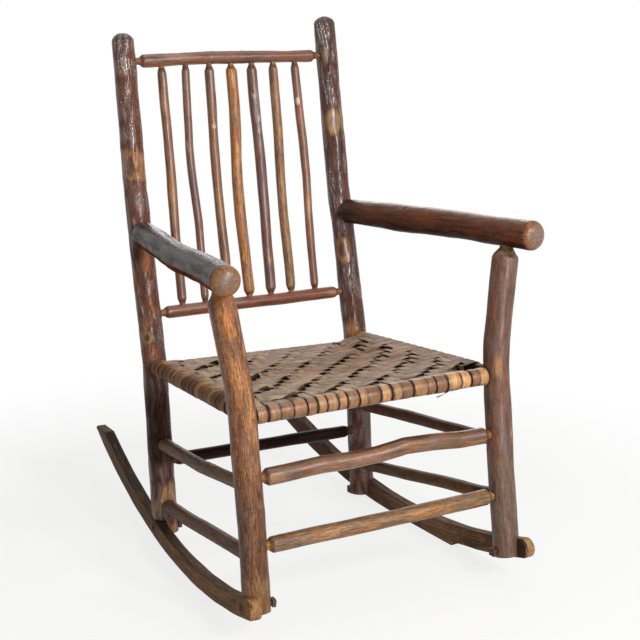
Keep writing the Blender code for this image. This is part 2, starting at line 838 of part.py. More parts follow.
spindle_tenon = Tenon(spindle_tenon_diameter, spindle_tip_setback, clearance, spindle_cone_length)
for number, spindle in enumerate(spindles[:spindle_count]):
    place = number - (spindle_count - 1) / 2
    foot_x = spindle_row_middle_bottom + place * spindle_pitch_bottom + spindle.foot_stray
    head_x = spindle_row_middle_top + place * spindle_pitch_top + spindle.head_stray
    ends = [on_rail("lower_back_rail", lower_path, lower_ends, lower_size, foot_x),
            on_rail("crest_rail", crest_path, crest_ends, crest_size, head_x)]
    make_rail("spindle_%d" % (number + 1), ends, (spindle.diameter, spindle.diameter),
              (spindle_tenon, spindle_tenon), "peeled_hickory" if number in (3, 5) else "dark_bark",
              [spindle.hump], across, spindle_sides, 7)

# Seat rails: front and rear rails have long tenons, and the side rails stop short of them.
long_tenon = Tenon(seat_rail_tenon_diameter, tenon_tip_setback, clearance, seat_rail_cone_length)
short_tenon = Tenon(seat_rail_tenon_diameter, seat_rail_tenon_diameter / 2 + tenon_tip_margin, clearance,
                    seat_rail_cone_length)
seat_rails = {
    "front": across_joints("front", "front_rail_height"),
    "rear": across_joints("rear", "rear_rail_height"),
    "left": along_joints("left", "side_rail_rear", "side_rail_front"),
    "right": along_joints("right", "side_rail_rear", "side_rail_front"),
}
for name, ends in seat_rails.items():
    tenon = short_tenon if name in sides else long_tenon
    make_rail("seat_rail_" + name, ends, (seat_rail_diameter, seat_rail_diameter), (tenon, tenon),
              "peeled_hickory", body_stations=2)
make_seat(seat_rails)

# Stretchers: the front and rear ones have long tenons, and the side ones stop short of them.
long_stretcher = Tenon(stretcher_tenon_diameter, tenon_tip_setback, front_tenon_show, stretcher_cone_length)
short_stretcher = Tenon(stretcher_tenon_diameter, stretcher_tenon_diameter / 2 + tenon_tip_margin,
                        side_tenon_show, stretcher_cone_length)
make_rail("stretcher_front_upper", [post_joint("front", label, front_upper_height) for label in sides],
          (front_upper_diameter, front_upper_diameter), (long_stretcher, long_stretcher), "red_bark",
          front_upper_humps)
make_rail("stretcher_front_lower", across_joints("front", "front_lower_height"),
          (front_lower_diameter, front_lower_diameter), (long_stretcher, long_stretcher), "peeled_hickory",
          body_stations=4)
make_rail("stretcher_rear", across_joints("rear", "rear_stretcher_height"),
          (rear_stretcher_diameter, rear_stretcher_diameter), (long_stretcher, long_stretcher), "dark_bark",
          body_stations=4)
for label, side in sides.items():
    make_rail("stretcher_%s_upper" % label, along_joints(label, "upper_rear", "upper_front"),
              (side.upper_rear_diameter, side.upper_front_diameter), (short_stretcher, short_stretcher),
              "arm_bark", [Hump(0.5, side.upper_bow, 0.5)])
    make_rail("stretcher_%s_lower" % label, along_joints(label, "lower_rear", "lower_front"),
              (side.lower_diameter, side.lower_diameter), (short_stretcher, short_stretcher),
              "arm_bark", body_stations=4)

# Nails: behind the back rails, in front of the front seat rail, outside the arms' rear joints.
forward = Vector((0.0, -1.0, 0.0))
for index, (label, side) in enumerate(sides.items()):
    outward = across * side.sign
    make_nail("nail_crest_" + label, crest_ends[index], -outward, -forward, "crest_rail")
    make_nail("nail_lower_rail_" + label, lower_ends[index], -outward, -forward, "lower_back_rail")
    make_nail("nail_seat_rail_" + label, seat_rails["front"][index], -outward, forward, "seat_rail_front")
    arm_direction = (arm_line(label)[2] - arm_line(label)[0]).normalized()
    make_nail("nail_arm_" + label, post_joint("rear", label, arm_rear_height), arm_direction, outward,
              "arm_" + label)

# The origin is on the floor under the middle of the rockers' length.
plan_direction = rocker_line(sides["left"])[0]
stand.location.y = (rocker_front_reach - rocker_tail_reach) / 2 * abs(plan_direction.y)
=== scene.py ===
import json
import bpy
import numpy as np
from mathutils import Matrix, Vector

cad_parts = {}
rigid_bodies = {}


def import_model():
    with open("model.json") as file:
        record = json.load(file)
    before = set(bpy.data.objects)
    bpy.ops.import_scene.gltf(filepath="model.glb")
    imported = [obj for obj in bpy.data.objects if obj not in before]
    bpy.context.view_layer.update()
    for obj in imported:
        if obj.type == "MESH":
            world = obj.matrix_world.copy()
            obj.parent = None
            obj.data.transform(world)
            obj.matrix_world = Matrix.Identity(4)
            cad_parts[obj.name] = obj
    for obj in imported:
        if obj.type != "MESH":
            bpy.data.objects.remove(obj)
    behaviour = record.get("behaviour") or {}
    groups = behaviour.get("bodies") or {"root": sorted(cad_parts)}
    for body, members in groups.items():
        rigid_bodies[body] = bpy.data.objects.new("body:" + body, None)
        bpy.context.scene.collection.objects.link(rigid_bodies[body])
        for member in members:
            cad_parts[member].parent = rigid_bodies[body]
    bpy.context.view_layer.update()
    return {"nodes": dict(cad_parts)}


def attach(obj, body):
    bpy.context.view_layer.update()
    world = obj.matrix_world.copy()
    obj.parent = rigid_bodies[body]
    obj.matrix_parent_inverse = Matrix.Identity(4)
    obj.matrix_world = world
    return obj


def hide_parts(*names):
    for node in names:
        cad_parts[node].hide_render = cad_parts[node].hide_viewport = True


for spare in list(bpy.data.objects):
    bpy.data.objects.remove(spare)
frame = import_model()
print("frame loaded:", len(frame["nodes"]), "nodes")

mm = 0.001
turn = 2 * np.pi
upwards = np.array([0, 0, 1.0])
plainWhite = (1, 1, 1, 1)


# Helpers for colours, nodes and meshes

def linearColour(hexCode):
    # the sRGB curve undone: a straight toe, then a power of 2.4
    srgb = np.array([int(hexCode[k:k + 2], 16) for k in (1, 3, 5)]) / 255
    return np.where(srgb <= 0.04045, srgb / 12.92, ((srgb + 0.055) / 1.055) ** 2.4)


def socketColour(hexCode):
    return (*linearColour(hexCode), 1.0)


def addNode(tree, kind, inputs=None, **settings):
    # one node with its properties; a socket is set to a value, or linked from another socket or from the
    # first output in use of another node
    node = tree.nodes.new("ShaderNode" + kind)
    for name, value in settings.items():
        setattr(node, name, value)
    for name, value in (inputs or {}).items():
        if isinstance(value, bpy.types.Node):
            value = next(socket for socket in value.outputs if socket.enabled)
        if isinstance(value, bpy.types.NodeSocket):
            tree.links.new(value, node.inputs[name])
        else:
            node.inputs[name].default_value = value
    return node


def newMaterial(name):
    material = bpy.data.materials.new(name)
    material.use_nodes = True
    material.node_tree.nodes.clear()
    return material, material.node_tree


def addObject(name, data):
    added = bpy.data.objects.new(name, data)
    bpy.context.scene.collection.objects.link(added)
    return added


def smooth(low, high, value):
    # 0 at low, 1 at high, held beyond both, and the cubic 3s^2 - 2s^3 between
    share = np.clip((value - low) / (high - low), 0, 1)
    return share * share * (3 - 2 * share)


def mixTint(tint, hexCode, amount):
    return tint + (linearColour(hexCode) - tint) * np.asarray(amount)[..., None]


def unit(vectors):
    return vectors / np.linalg.norm(vectors, axis=-1, keepdims=True)


attributeKinds = {"woodTint": ("FLOAT_COLOR", "color"), "place": ("FLOAT_VECTOR", "vector"),
                  "furrow": ("FLOAT", "value"), "shine": ("FLOAT", "value")}


def addTubes(name, grid, ends, looks, finish, nodes=(), sharpAngle=50):
    # grid is tubes x rows x columns x 3, and a single tube may leave out the first; columns close round each
    # tube, and rows close with a point at either end (ends "pole") or on themselves (ends "loop"); looks
    # holds what the finish reads at each point
    grid = grid.reshape(-1, *grid.shape[-3:])
    tubes, rows, columns = grid.shape[:3]
    index = np.arange(tubes * rows * columns).reshape(tubes, rows, columns)
    if ends == "loop":
        index = np.concatenate([index, index[:, :1]], axis=1)
    across = np.roll(index, -1, axis=2)
    quads = np.stack([index[:, :-1], across[:, :-1], across[:, 1:], index[:, 1:]], axis=-1)
    faces = quads.reshape(-1, 4).tolist()

    def atPoints(values):
        # the values at every point; a pole has the mean of the row beside it
        values = values.reshape(tubes, rows, columns, -1)
        points = values.reshape(tubes * rows * columns, -1)
        if ends == "loop":
            return points
        return np.concatenate([points, values[:, [0, -1]].mean(axis=2).reshape(2 * tubes, -1)])

    if ends == "pole":
        pole = index.size + 2 * np.arange(tubes)[:, None] + 0 * index[:, 0]
        low = np.stack([pole, across[:, 0], index[:, 0]], axis=-1)
        high = np.stack([pole + 1, index[:, -1], across[:, -1]], axis=-1)
        faces += low.reshape(-1, 3).tolist() + high.reshape(-1, 3).tolist()
    mesh = bpy.data.meshes.new(name)
    mesh.from_pydata(atPoints(grid), [], faces)
    for title, values in looks.items():
        kind, field = attributeKinds[title]
        flat = atPoints(values)
        if kind == "FLOAT_COLOR":
            flat = np.pad(flat, ((0, 0), (0, 1)), constant_values=1)
        layer = mesh.attributes.new(title, kind, "POINT")
        layer.data.foreach_set(field, flat.astype(np.float32).ravel())
    mesh.update()
    mesh.validate()
    piece = addObject(name, mesh)
    mesh.materials.append(finishes[finish])
    mesh.shade_smooth()
    mesh.set_sharp_from_angle(angle=np.radians(sharpAngle))
    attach(piece, "root")
    if nodes:
        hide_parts(*nodes)


def latticeNoise(seed, around, along, cellsAround, cellLength):
    # random heights from -1 to 1 on a lattice that closes round the stick, joined by the cubic 3s^2 - 2s^3
    along = along - along.min()
    rows = int(along.max() / cellLength) + 3
    table = np.random.default_rng(seed).uniform(-1, 1, (rows, cellsAround))
    u = np.broadcast_to((around / turn) % 1 * cellsAround, np.broadcast_shapes(around.shape, along.shape))
    v = np.broadcast_to(along / cellLength, u.shape)
    column = np.floor(u).astype(int)
    row = np.floor(v).astype(int)
    fu = smooth(0, 1, u - column)
    fv = smooth(0, 1, v - row)
    here = column % cellsAround
    after = (column + 1) % cellsAround
    low = table[row, here] * (1 - fu) + table[row, after] * fu
    high = table[row + 1, here] * (1 - fu) + table[row + 1, after] * fu
    return low * (1 - fv) + high * fv


def lineNoise(seed, along, cellLength):
    # the same along a line
    return latticeNoise(seed, np.zeros(1), along, 1, cellLength)


def smoothInterp(x, knots, values):
    # a cubic through the values at the knots, with slopes from their neighbours
    slopes = np.gradient(values, knots, axis=0)
    k = np.clip(np.searchsorted(knots, x) - 1, 0, len(knots) - 2)
    step = (knots[k + 1] - knots[k])[:, None]
    s = (x - knots[k])[:, None] / step
    rise = s * s * (3 - 2 * s)
    return (values[k] * (1 - rise) + values[k + 1] * rise
            + step * s * (1 - s) * ((1 - s) * slopes[k] - s * slopes[k + 1]))


# The photograph's view: a long lens from the chair's left front; film in mm, frame in pixels

view = dict(azimuth=-28.103, elevation=15.625, roll=-0.12, distance=3.0641, lens=96.75, film=36, frame=640,
            target=(-0.00777, -0.1683, 0.46505))


def cameraAxes():
    azimuth, elevation = np.radians([view["azimuth"], view["elevation"]])
    level = np.array([np.sin(azimuth), -np.cos(azimuth), 0])
    back = level * np.cos(elevation) + upwards * np.sin(elevation)
    right = np.array([np.cos(azimuth), np.sin(azimuth), 0])
    return right, np.cross(back, right), back


toRight, toTop, toCamera = cameraAxes()


def makeCamera():
    axes = Matrix([Vector(axis) for axis in (toRight, toTop, toCamera)]).transposed().to_4x4()
    data = bpy.data.cameras.new("camera")
    data.lens = view["lens"]
    camera = addObject("camera", data)
    place = Matrix.Translation(Vector(view["target"]) + Vector(toCamera) * view["distance"])
    camera.matrix_world = place @ axes @ Matrix.Rotation(np.radians(view["roll"]), 4, "Z")
    bpy.context.scene.camera = camera


def pictureOf(points):
    # where points fall in the photograph's frame, and pixels per metre there
    offset = points - np.array(view["target"]) - toCamera * view["distance"]
    scale = view["lens"] / view["film"] * view["frame"] / -(offset @ toCamera)
    middle = view["frame"] / 2
    return np.stack([middle + scale * (offset @ toRight), middle - scale * (offset @ toTop)], axis=-1), scale


makeCamera()
print("camera placed")


# Studio: a pale floor, a soft key from the front and a small lamp to its right, a tall strip that draws the
# streaks down the sticks, a broad top lamp, a rim from behind, a weak fill and an even sky

studio = dict(floorSize=7.0, floorColour="#d6d4d0", floorRoughness=0.9, floorGloss=0.1,
              clearFrom=0.55, clearTo=1.15, clearLeast=0.80, skyStrength=0.16)
lamps = {
    "key": dict(place=(0.45, -3.0, 2.25), aim=(0, -0.1, 0.5), size=(0.45, 0.45), power=58),
    "side": dict(place=(1.6, -2.9, 1.95), aim=(0, -0.1, 0.6), size=(0.6, 0.25), power=26),
    "strip": dict(place=(-0.15, -3.1, 1.22), aim=(0, -0.1, 0.6), size=(0.10, 1.6), power=64),
    "top": dict(place=(0.3, 0.3, 3.2), aim=(0, 0, 0.4), size=(1.8, 1.8), power=26),
    "rim": dict(place=(1.7, 2.9, 1.5), aim=(0, 0, 0.5), size=(2.0, 1.4), power=26),
    "fill": dict(place=(-2.8, -0.6, 1.9), aim=(0, -0.1, 0.5), size=(1.6, 1.6), power=4),
}


def seenOn(tree, *rays):
    # 1 on rays of the named kinds and 0 on all others
    path = addNode(tree, "LightPath")
    seen = path.outputs[rays[0]]
    for ray in rays[1:]:
        seen = addNode(tree, "Math", {0: seen, 1: path.outputs[ray]}, operation="MAXIMUM")
    return seen


def makeSky():
    world = bpy.data.worlds.new("studio")
    world.use_nodes = True
    tree = world.node_tree
    tree.nodes.clear()
    seen = seenOn(tree, "Is Camera Ray", "Is Glossy Ray", "Is Transmission Ray")
    sky = addNode(tree, "Background", {"Color": plainWhite, "Strength": studio["skyStrength"]})
    white = addNode(tree, "Background", {"Color": plainWhite, "Strength": 1.0})
    blend = addNode(tree, "MixShader", {0: seen, 1: sky, 2: white})
    addNode(tree, "OutputWorld", {"Surface": blend})
    bpy.context.scene.world = world


def makeFloor():
    # the floor shows the shadow near the chair and fades to plain white away from it
    half = studio["floorSize"] / 2
    corners = [(-half, -half, 0), (half, -half, 0), (half, half, 0), (-half, half, 0)]
    mesh = bpy.data.meshes.new("floor")
    mesh.from_pydata(corners, [], [(0, 1, 2, 3)])
    floor = addObject("floor", mesh)
    material, tree = newMaterial("paleSweep")
    place = addNode(tree, "TexCoord").outputs["Object"]
    reach = addNode(tree, "VectorMath", {0: place}, operation="LENGTH")
    clear = addNode(tree, "MapRange", {"Value": reach, "From Min": studio["clearFrom"],
                                       "From Max": studio["clearTo"], "To Min": studio["clearLeast"]},
                    interpolation_type="SMOOTHSTEP")
    seen = seenOn(tree, "Is Camera Ray", "Is Glossy Ray")
    amount = addNode(tree, "Math", {0: clear, 1: seen}, operation="MULTIPLY")
    paint = addNode(tree, "BsdfPrincipled", {"Base Color": socketColour(studio["floorColour"]),
                                             "Roughness": studio["floorRoughness"],
                                             "Specular IOR Level": studio["floorGloss"]})
    white = addNode(tree, "Emission", {"Color": plainWhite, "Strength": 1.0})
    blend = addNode(tree, "MixShader", {0: amount, 1: paint, 2: white})
    addNode(tree, "OutputMaterial", {"Surface": blend})
    mesh.materials.append(material)


def hangLamps():
    for name, lamp in lamps.items():
        data = bpy.data.lights.new(name, "AREA")
        data.shape = "RECTANGLE"
        data.size, data.size_y = lamp["size"]
        data.energy = lamp["power"]
        light = addObject(name, data)
        light.visible_camera = False
        light.location = lamp["place"]
        light.rotation_euler = (Vector(lamp["aim"]) - light.location).to_track_quat("-Z", "Y").to_euler()


bpy.context.scene.view_settings.view_transform = "Standard"
makeSky()
makeFloor()
hangLamps()
print("studio lit")


# Finishes: each reads the tint painted on its piece and adds what is finer than the mesh; widths, lengths
# and relief are in mm, low and high are what dark and pale fibres do to the tint

woodFinishes = {
    # young hickory with its bark on, shellacked: long ridges of bark between dark furrows, which break the
    # shine into dashes
    "hickoryBark": dict(streakWidth=2.4, streakLength=26, speck=1.6, furrowWidth=3.4, furrowLength=26,
                        low=(0.52, 0.43, 0.38), high=(1.45, 1.42, 1.36), roughness=0.22, gloss=0.40,
                        relief=1.5, fibre=0.35, ridge=1.0),
    # thin saplings with their bark on, rubbed smooth by backs and hands: one clear streak of shine
    "rubbedBark": dict(streakWidth=2.2, streakLength=40, speck=1.6, furrowWidth=4.0, furrowLength=30,
                       low=(0.62, 0.54, 0.50), high=(1.34, 1.32, 1.28), roughness=0.30, gloss=0.44,
                       relief=0.4, fibre=0.5, ridge=0.6),
    # bark worn smooth by legs and waxed by hands: a broad grey sheen down the middle
    "satinBark": dict(streakWidth=2.6, streakLength=34, speck=2.0, furrowWidth=4.0, furrowLength=20,
                      low=(0.57, 0.48, 0.44), high=(1.42, 1.40, 1.34), roughness=0.44, gloss=0.55,
                      relief=0.4, fibre=0.5, ridge=0.6),
    # hickory with the bark pulled off: paler, with short dark checks along the grain and a softer sheen
    "peeledHickory": dict(streakWidth=2.2, streakLength=24, speck=1.5, furrowWidth=3.6, furrowLength=22,
                          low=(0.44, 0.34, 0.28), high=(1.54, 1.50, 1.42), roughness=0.33, gloss=0.28,
                          relief=0.6, fibre=0.6, ridge=0.6),
    # bark worn and darkened by hands: grey and polished, with pits where the bark is left
    "wornBark": dict(streakWidth=3.4, streakLength=46, speck=1.8, furrowWidth=3.2, furrowLength=10,
                     low=(0.56, 0.50, 0.48), high=(1.38, 1.36, 1.34), roughness=0.26, gloss=0.04,
                     relief=0.6, fibre=0.6, ridge=0.8),
    # bark scuffed by feet and dulled by dust: brown, mottled, with little shine
    "scuffedBark": dict(streakWidth=3.0, streakLength=30, speck=2.0, furrowWidth=3.4, furrowLength=12,
                        low=(0.56, 0.50, 0.46), high=(1.42, 1.36, 1.30), roughness=0.36, gloss=0.05,
                        relief=0.6, fibre=0.6, ridge=0.7),
    # sawn oak: straight grain, dull and scuffed by floors
    "sawnOak": dict(streakWidth=1.8, streakLength=60, speck=1.5, furrowWidth=3.0, furrowLength=40,
                    low=(0.50, 0.44, 0.40), high=(1.45, 1.42, 1.36), roughness=0.55, gloss=0.05,
                    relief=0.8, fibre=0.8, ridge=0.7, shine=False),
    # inner bark cut in strips and woven wet: fine fibres along the strip, a leathery sheen
    "barkSplint": dict(streakWidth=1.6, streakLength=30, speck=1.4, furrowWidth=2.6, furrowLength=30,
                       low=(0.58, 0.52, 0.48), high=(1.36, 1.34, 1.30), roughness=0.50, gloss=0.07,
                       relief=0.6, fibre=0.8, ridge=0.6, polish=0.035),
}
# what they share: the values of the noise that count, the specks' part in it, half a furrow's width in those
# values and its darkness, and how much rougher or smoother than the finish the fibres are
woodTexture = dict(spread=(0.36, 0.64), specks=0.3, fineDetail=4.0, coarseDetail=2.0, noiseRoughness=0.6,
                   furrowHalf=0.07, furrowShade=0.7, rougher=0.1, smoother=0.05, bump=0.6)


def makeWoodFinish(name, finish):
    # fibres and furrows: noise stretched along the piece, in the piece's own straightened place (metres);
    # a furrow opens where the stretched noise passes through its middle value
    material, tree = newMaterial(name)
    tint = addNode(tree, "Attribute", attribute_name="woodTint").outputs["Color"]
    place = addNode(tree, "Attribute", attribute_name="place").outputs["Vector"]
    furrow = addNode(tree, "Attribute", attribute_name="furrow").outputs["Fac"]

    def stretchedNoise(width, length, detail):
        scale = (1 / (width * mm), 1 / (width * mm), 1 / (length * mm))
        stretched = addNode(tree, "Mapping", {"Vector": place, "Scale": scale})
        return addNode(tree, "TexNoise", {"Vector": stretched, "Scale": 1.0, "Detail": woodTexture[detail],
                                          "Roughness": woodTexture["noiseRoughness"]})

    fibre = stretchedNoise(finish["streakWidth"], finish["streakLength"], "fineDetail")
    speck = stretchedNoise(2 * finish["speck"], 3 * finish["speck"], "coarseDetail")
    crack = stretchedNoise(finish["furrowWidth"], finish["furrowLength"], "coarseDetail")
    mixed = addNode(tree, "Mix", {0: woodTexture["specks"], 2: fibre, 3: speck})
    spread = dict(zip(("From Min", "From Max"), woodTexture["spread"]))
    share = addNode(tree, "MapRange", {"Value": mixed, **spread})
    low, high = [(*finish[title], 1) for title in ("low", "high")]
    gain = addNode(tree, "Mix", {0: share, 6: low, 7: high}, data_type="RGBA")
    colour = addNode(tree, "VectorMath", {0: tint, 1: gain}, operation="MULTIPLY")
    away = addNode(tree, "Math", {0: crack, 1: 0.5}, operation="SUBTRACT")
    away = addNode(tree, "Math", {0: away}, operation="ABSOLUTE")
    opened = addNode(tree, "MapRange", {"Value": away, "From Min": woodTexture["furrowHalf"],
                                        "From Max": 0.0}, interpolation_type="SMOOTHSTEP")
    depth = addNode(tree, "Math", {0: opened, 1: furrow}, operation="MULTIPLY")
    shade = addNode(tree, "Math", {0: depth, 1: -woodTexture["furrowShade"], 2: 1.0},
                    operation="MULTIPLY_ADD")
    colour = addNode(tree, "VectorMath", {0: colour, "Scale": shade}, operation="SCALE")
    height = addNode(tree, "Math", {0: mixed, 1: finish["fibre"]}, operation="MULTIPLY")
    height = addNode(tree, "Math", {0: depth, 1: -finish["ridge"], 2: height}, operation="MULTIPLY_ADD")
    bump = addNode(tree, "Bump", {"Height": height, "Strength": woodTexture["bump"],
                                  "Distance": finish["relief"] * mm})
    rough = addNode(tree, "MapRange", {"Value": mixed, **spread,
                                       "To Min": finish["roughness"] + woodTexture["rougher"],
                                       "To Max": finish["roughness"] - woodTexture["smoother"]})
    gloss = finish["gloss"]
    if finish.get("shine", True):
        shine = addNode(tree, "Attribute", attribute_name="shine").outputs["Fac"]
        gloss = addNode(tree, "Math", {0: shine, 1: gloss}, operation="MULTIPLY")
    if "polish" in finish:
        polish = addNode(tree, "Math", {0: shine, 1: 1.0}, operation="SUBTRACT")
        rough = addNode(tree, "Math", {0: polish, 1: -finish["polish"], 2: rough}, operation="MULTIPLY_ADD")
    shader = addNode(tree, "BsdfPrincipled", {"Base Color": colour, "Roughness": rough, "IOR": 1.5,
                                              "Normal": bump, "Specular IOR Level": gloss})
    addNode(tree, "OutputMaterial", {"Surface": shader})
    return material


finishes = {name: makeWoodFinish(name, finish) for name, finish in woodFinishes.items()}

# sizes in mm; the ranges are values of the noise, and metal and roughness go from bare iron to rust
ironFinish = dict(steel="#4a3f3a", rust="#54341f", darkRust="#2c1a13", patch=3.0, patchDetail=3.0, pit=0.8,
                  pitDetail=2.0, rustRange=(0.38, 0.6), pitRange=(0.42, 0.3), metal=(0.8, 0.0),
                  roughness=(0.45, 0.85), bump=0.5, relief=0.3)


def makeRustyIron():
    # forged iron left bare: brown rust in patches, dark pits, a dull metal shine where it is rubbed
    material, tree = newMaterial("rustyIron")
    place = addNode(tree, "TexCoord").outputs["Object"]
    patch, pit = [addNode(tree, "TexNoise", {"Vector": place, "Scale": 1 / (ironFinish[title] * mm),
                                             "Detail": ironFinish[title + "Detail"]})
                  for title in ("patch", "pit")]
    steel, rust, darkRust = [socketColour(ironFinish[title]) for title in ("steel", "rust", "darkRust")]

    def ranged(value, title, ends):
        low, high = ironFinish[title]
        return addNode(tree, "MapRange", {"Value": value, ends + " Min": low, ends + " Max": high})

    share = ranged(patch, "rustRange", "From")
    colour = addNode(tree, "Mix", {0: share, 6: steel, 7: rust}, data_type="RGBA")
    pits = ranged(pit, "pitRange", "From")
    colour = addNode(tree, "Mix", {0: pits, 6: colour, 7: darkRust}, data_type="RGBA")
    bump = addNode(tree, "Bump", {"Height": pit, "Strength": ironFinish["bump"],
                                  "Distance": ironFinish["relief"] * mm})
    shader = addNode(tree, "BsdfPrincipled", {"Base Color": colour, "Metallic": ranged(share, "metal", "To"),
                                              "Roughness": ranged(share, "roughness", "To"), "Normal": bump})
    addNode(tree, "OutputMaterial", {"Surface": shader})
    return material


finishes["rustyIron"] = makeRustyIron()
print("finishes ready:", len(finishes))


# Reading a round stick from its solid: how many rings, how many for the first line, the part left out at its
# ends, the rays of a ring, and how near to the ends (mm) the rings come

trace = dict(stations=80, coarse=36, margin=0.03, rays=32, tip=0.8)


def nodeEdges(name):
    mesh = frame["nodes"][name].data
    points = np.empty(len(mesh.vertices) * 3, np.float32)
    mesh.vertices.foreach_get("co", points)
    edges = np.empty(len(mesh.edges) * 2, np.int32)
    mesh.edges.foreach_get("vertices", edges)
    points = points.reshape(-1, 3).astype(float)
    return points, points[edges.reshape(-1, 2)]


def planeCut(edges, centre, normal):
    # where the solid's edges cross a plane
    height = (edges - centre) @ normal
    crossing = height[:, 0] * height[:, 1] < 0
    ends = edges[crossing]
    share = (height[crossing, 0] / (height[crossing, 0] - height[crossing, 1]))[:, None]
    return ends[:, 0] + (ends[:, 1] - ends[:, 0]) * share


def planeAxes(normal, towards):
    # two directions square to a normal, the first as near as can be to a given one
    first = unit(towards - np.sum(towards * normal, axis=-1, keepdims=True) * normal)
    return first, np.cross(normal, first)


def fitRing(points, centre, first, second):
    # a circle's reach in each direction u is centre.u + radius, so least squares gives both
    if len(points) < 3:
        return centre, np.nan
    angles = np.linspace(0, turn, trace["rays"], endpoint=False)
    flat = np.stack([(points - centre) @ first, (points - centre) @ second], axis=1)
    rays = np.stack([np.cos(angles), np.sin(angles)])
    reach = (flat @ rays).max(axis=0)
    fit = np.linalg.lstsq(np.column_stack([rays.T, np.ones(len(angles))]), reach, rcond=None)[0]
    return centre + fit[0] * first + fit[1] * second, fit[2]


def traceStick(name, footClear):
    # centre line and radius of a stick, which runs to the right, the front or the top: planes square to its
    # length give a first line, then planes square to that line give the true rings; below footClear the
    # stick is carried on straight
    points, edges = nodeEdges(name)
    middle = points.mean(axis=0)
    axis = np.linalg.svd(points - middle, full_matrices=False)[2][0]
    axis = axis * np.sign(axis @ np.array([1, -1, 1]))
    heights = (points - middle) @ axis
    low, high = heights.min() + footClear, heights.max()
    margin = trace["margin"] * (high - low)
    even = np.linspace(low + margin, high - margin, trace["coarse"])
    first, second = planeAxes(axis, toCamera)
    guesses = middle + even[:, None] * axis
    line = np.array([fitRing(planeCut(edges, guess, axis), guess, first, second)[0] for guess in guesses])
    for sweep in range(2):
        line[1:-1] = 0.25 * line[:-2] + 0.5 * line[1:-1] + 0.25 * line[2:]
    slopes = np.gradient(line, even, axis=0)
    tip = trace["tip"] * mm
    spread = 0.5 - 0.5 * np.cos(np.linspace(0, np.pi, trace["stations"]))
    place = low + tip + (high - low - 2 * tip) * spread
    held = np.clip(place, even[0], even[-1])
    slope = np.stack([np.interp(held, even, slopes[:, k]) for k in range(3)], axis=1)
    centres = np.stack([np.interp(held, even, line[:, k]) for k in range(3)], axis=1)
    centres = centres + (place - held)[:, None] * slope
    normals = unit(slope)
    firsts, seconds = planeAxes(normals, toCamera)
    rings = [fitRing(planeCut(edges, centre, normal), centre, *axes)
             for centre, normal, *axes in zip(centres, normals, firsts, seconds)]
    radii = np.array([ring[1] for ring in rings])
    cut = np.isfinite(radii)
    radii = np.interp(place, place[cut], radii[cut])
    inside = (place == held)[:, None]
    centres = np.where(inside, np.array([ring[0] for ring in rings]), centres)
    # the very ends: a flat end keeps its radius, a dome closes to a point
    body = np.median(radii)
    tips = [centres[0] - (footClear + tip) * slope[0], centres[-1] + tip * slope[-1]]
    tipRadii = [radii[k] if radii[k] > 0.6 * body else 0.2 * radii[k] for k in (0, -1)]
    if footClear:
        tipRadii[0] = radii[0]
    centres = np.concatenate([tips[:1], centres, tips[1:]])
    radii = np.concatenate([tipRadii[:1], radii, tipRadii[1:]])
    along = np.concatenate([[0], np.cumsum(np.linalg.norm(np.diff(centres, axis=0), axis=1))])
    return along, centres, radii


# Round sticks: posts, arms, rails, spindles and stretchers; crook, lumps, plates and grain are heights in
# mm, dome is a share of the radius

stickDefaults = dict(
    finish="hickoryBark", bark="#5f3d30", dark="#2f1d17", ochre="#a8733f", cut="#5f4330", tenon="#8c6940",
    under=None, underFrom=(0.15, 0.6), upper=None, endTint=None, dome=0.0, domeFade=(0, 0.12), endSheen=None,
    endShine=1.0, topShine=1.0, ridgeShine=2.8, crook=1.0, lumps=0.6, plates=0.12, grain=0.05, furrow=0.3,
    peel=0.06, streaks=0.6, mottle=0.8, marks=(), lap=None)
postBark = dict(plates=0.55, grain=0.10, furrow=0.85, lumps=0.8, endTint="#43302a", dome=0.80, mottle=0.5)
smoothBark = dict(finish="rubbedBark", crook=1.5, tenon="#7a5838", cut="#543a2c")
peeledBark = dict(finish="peeledHickory")
dullBark = dict(finish="scuffedBark")
rail = dict(dullBark, seed=41, bark="#3c2a1e", dark="#241811", crook=0.0, lumps=0.2)

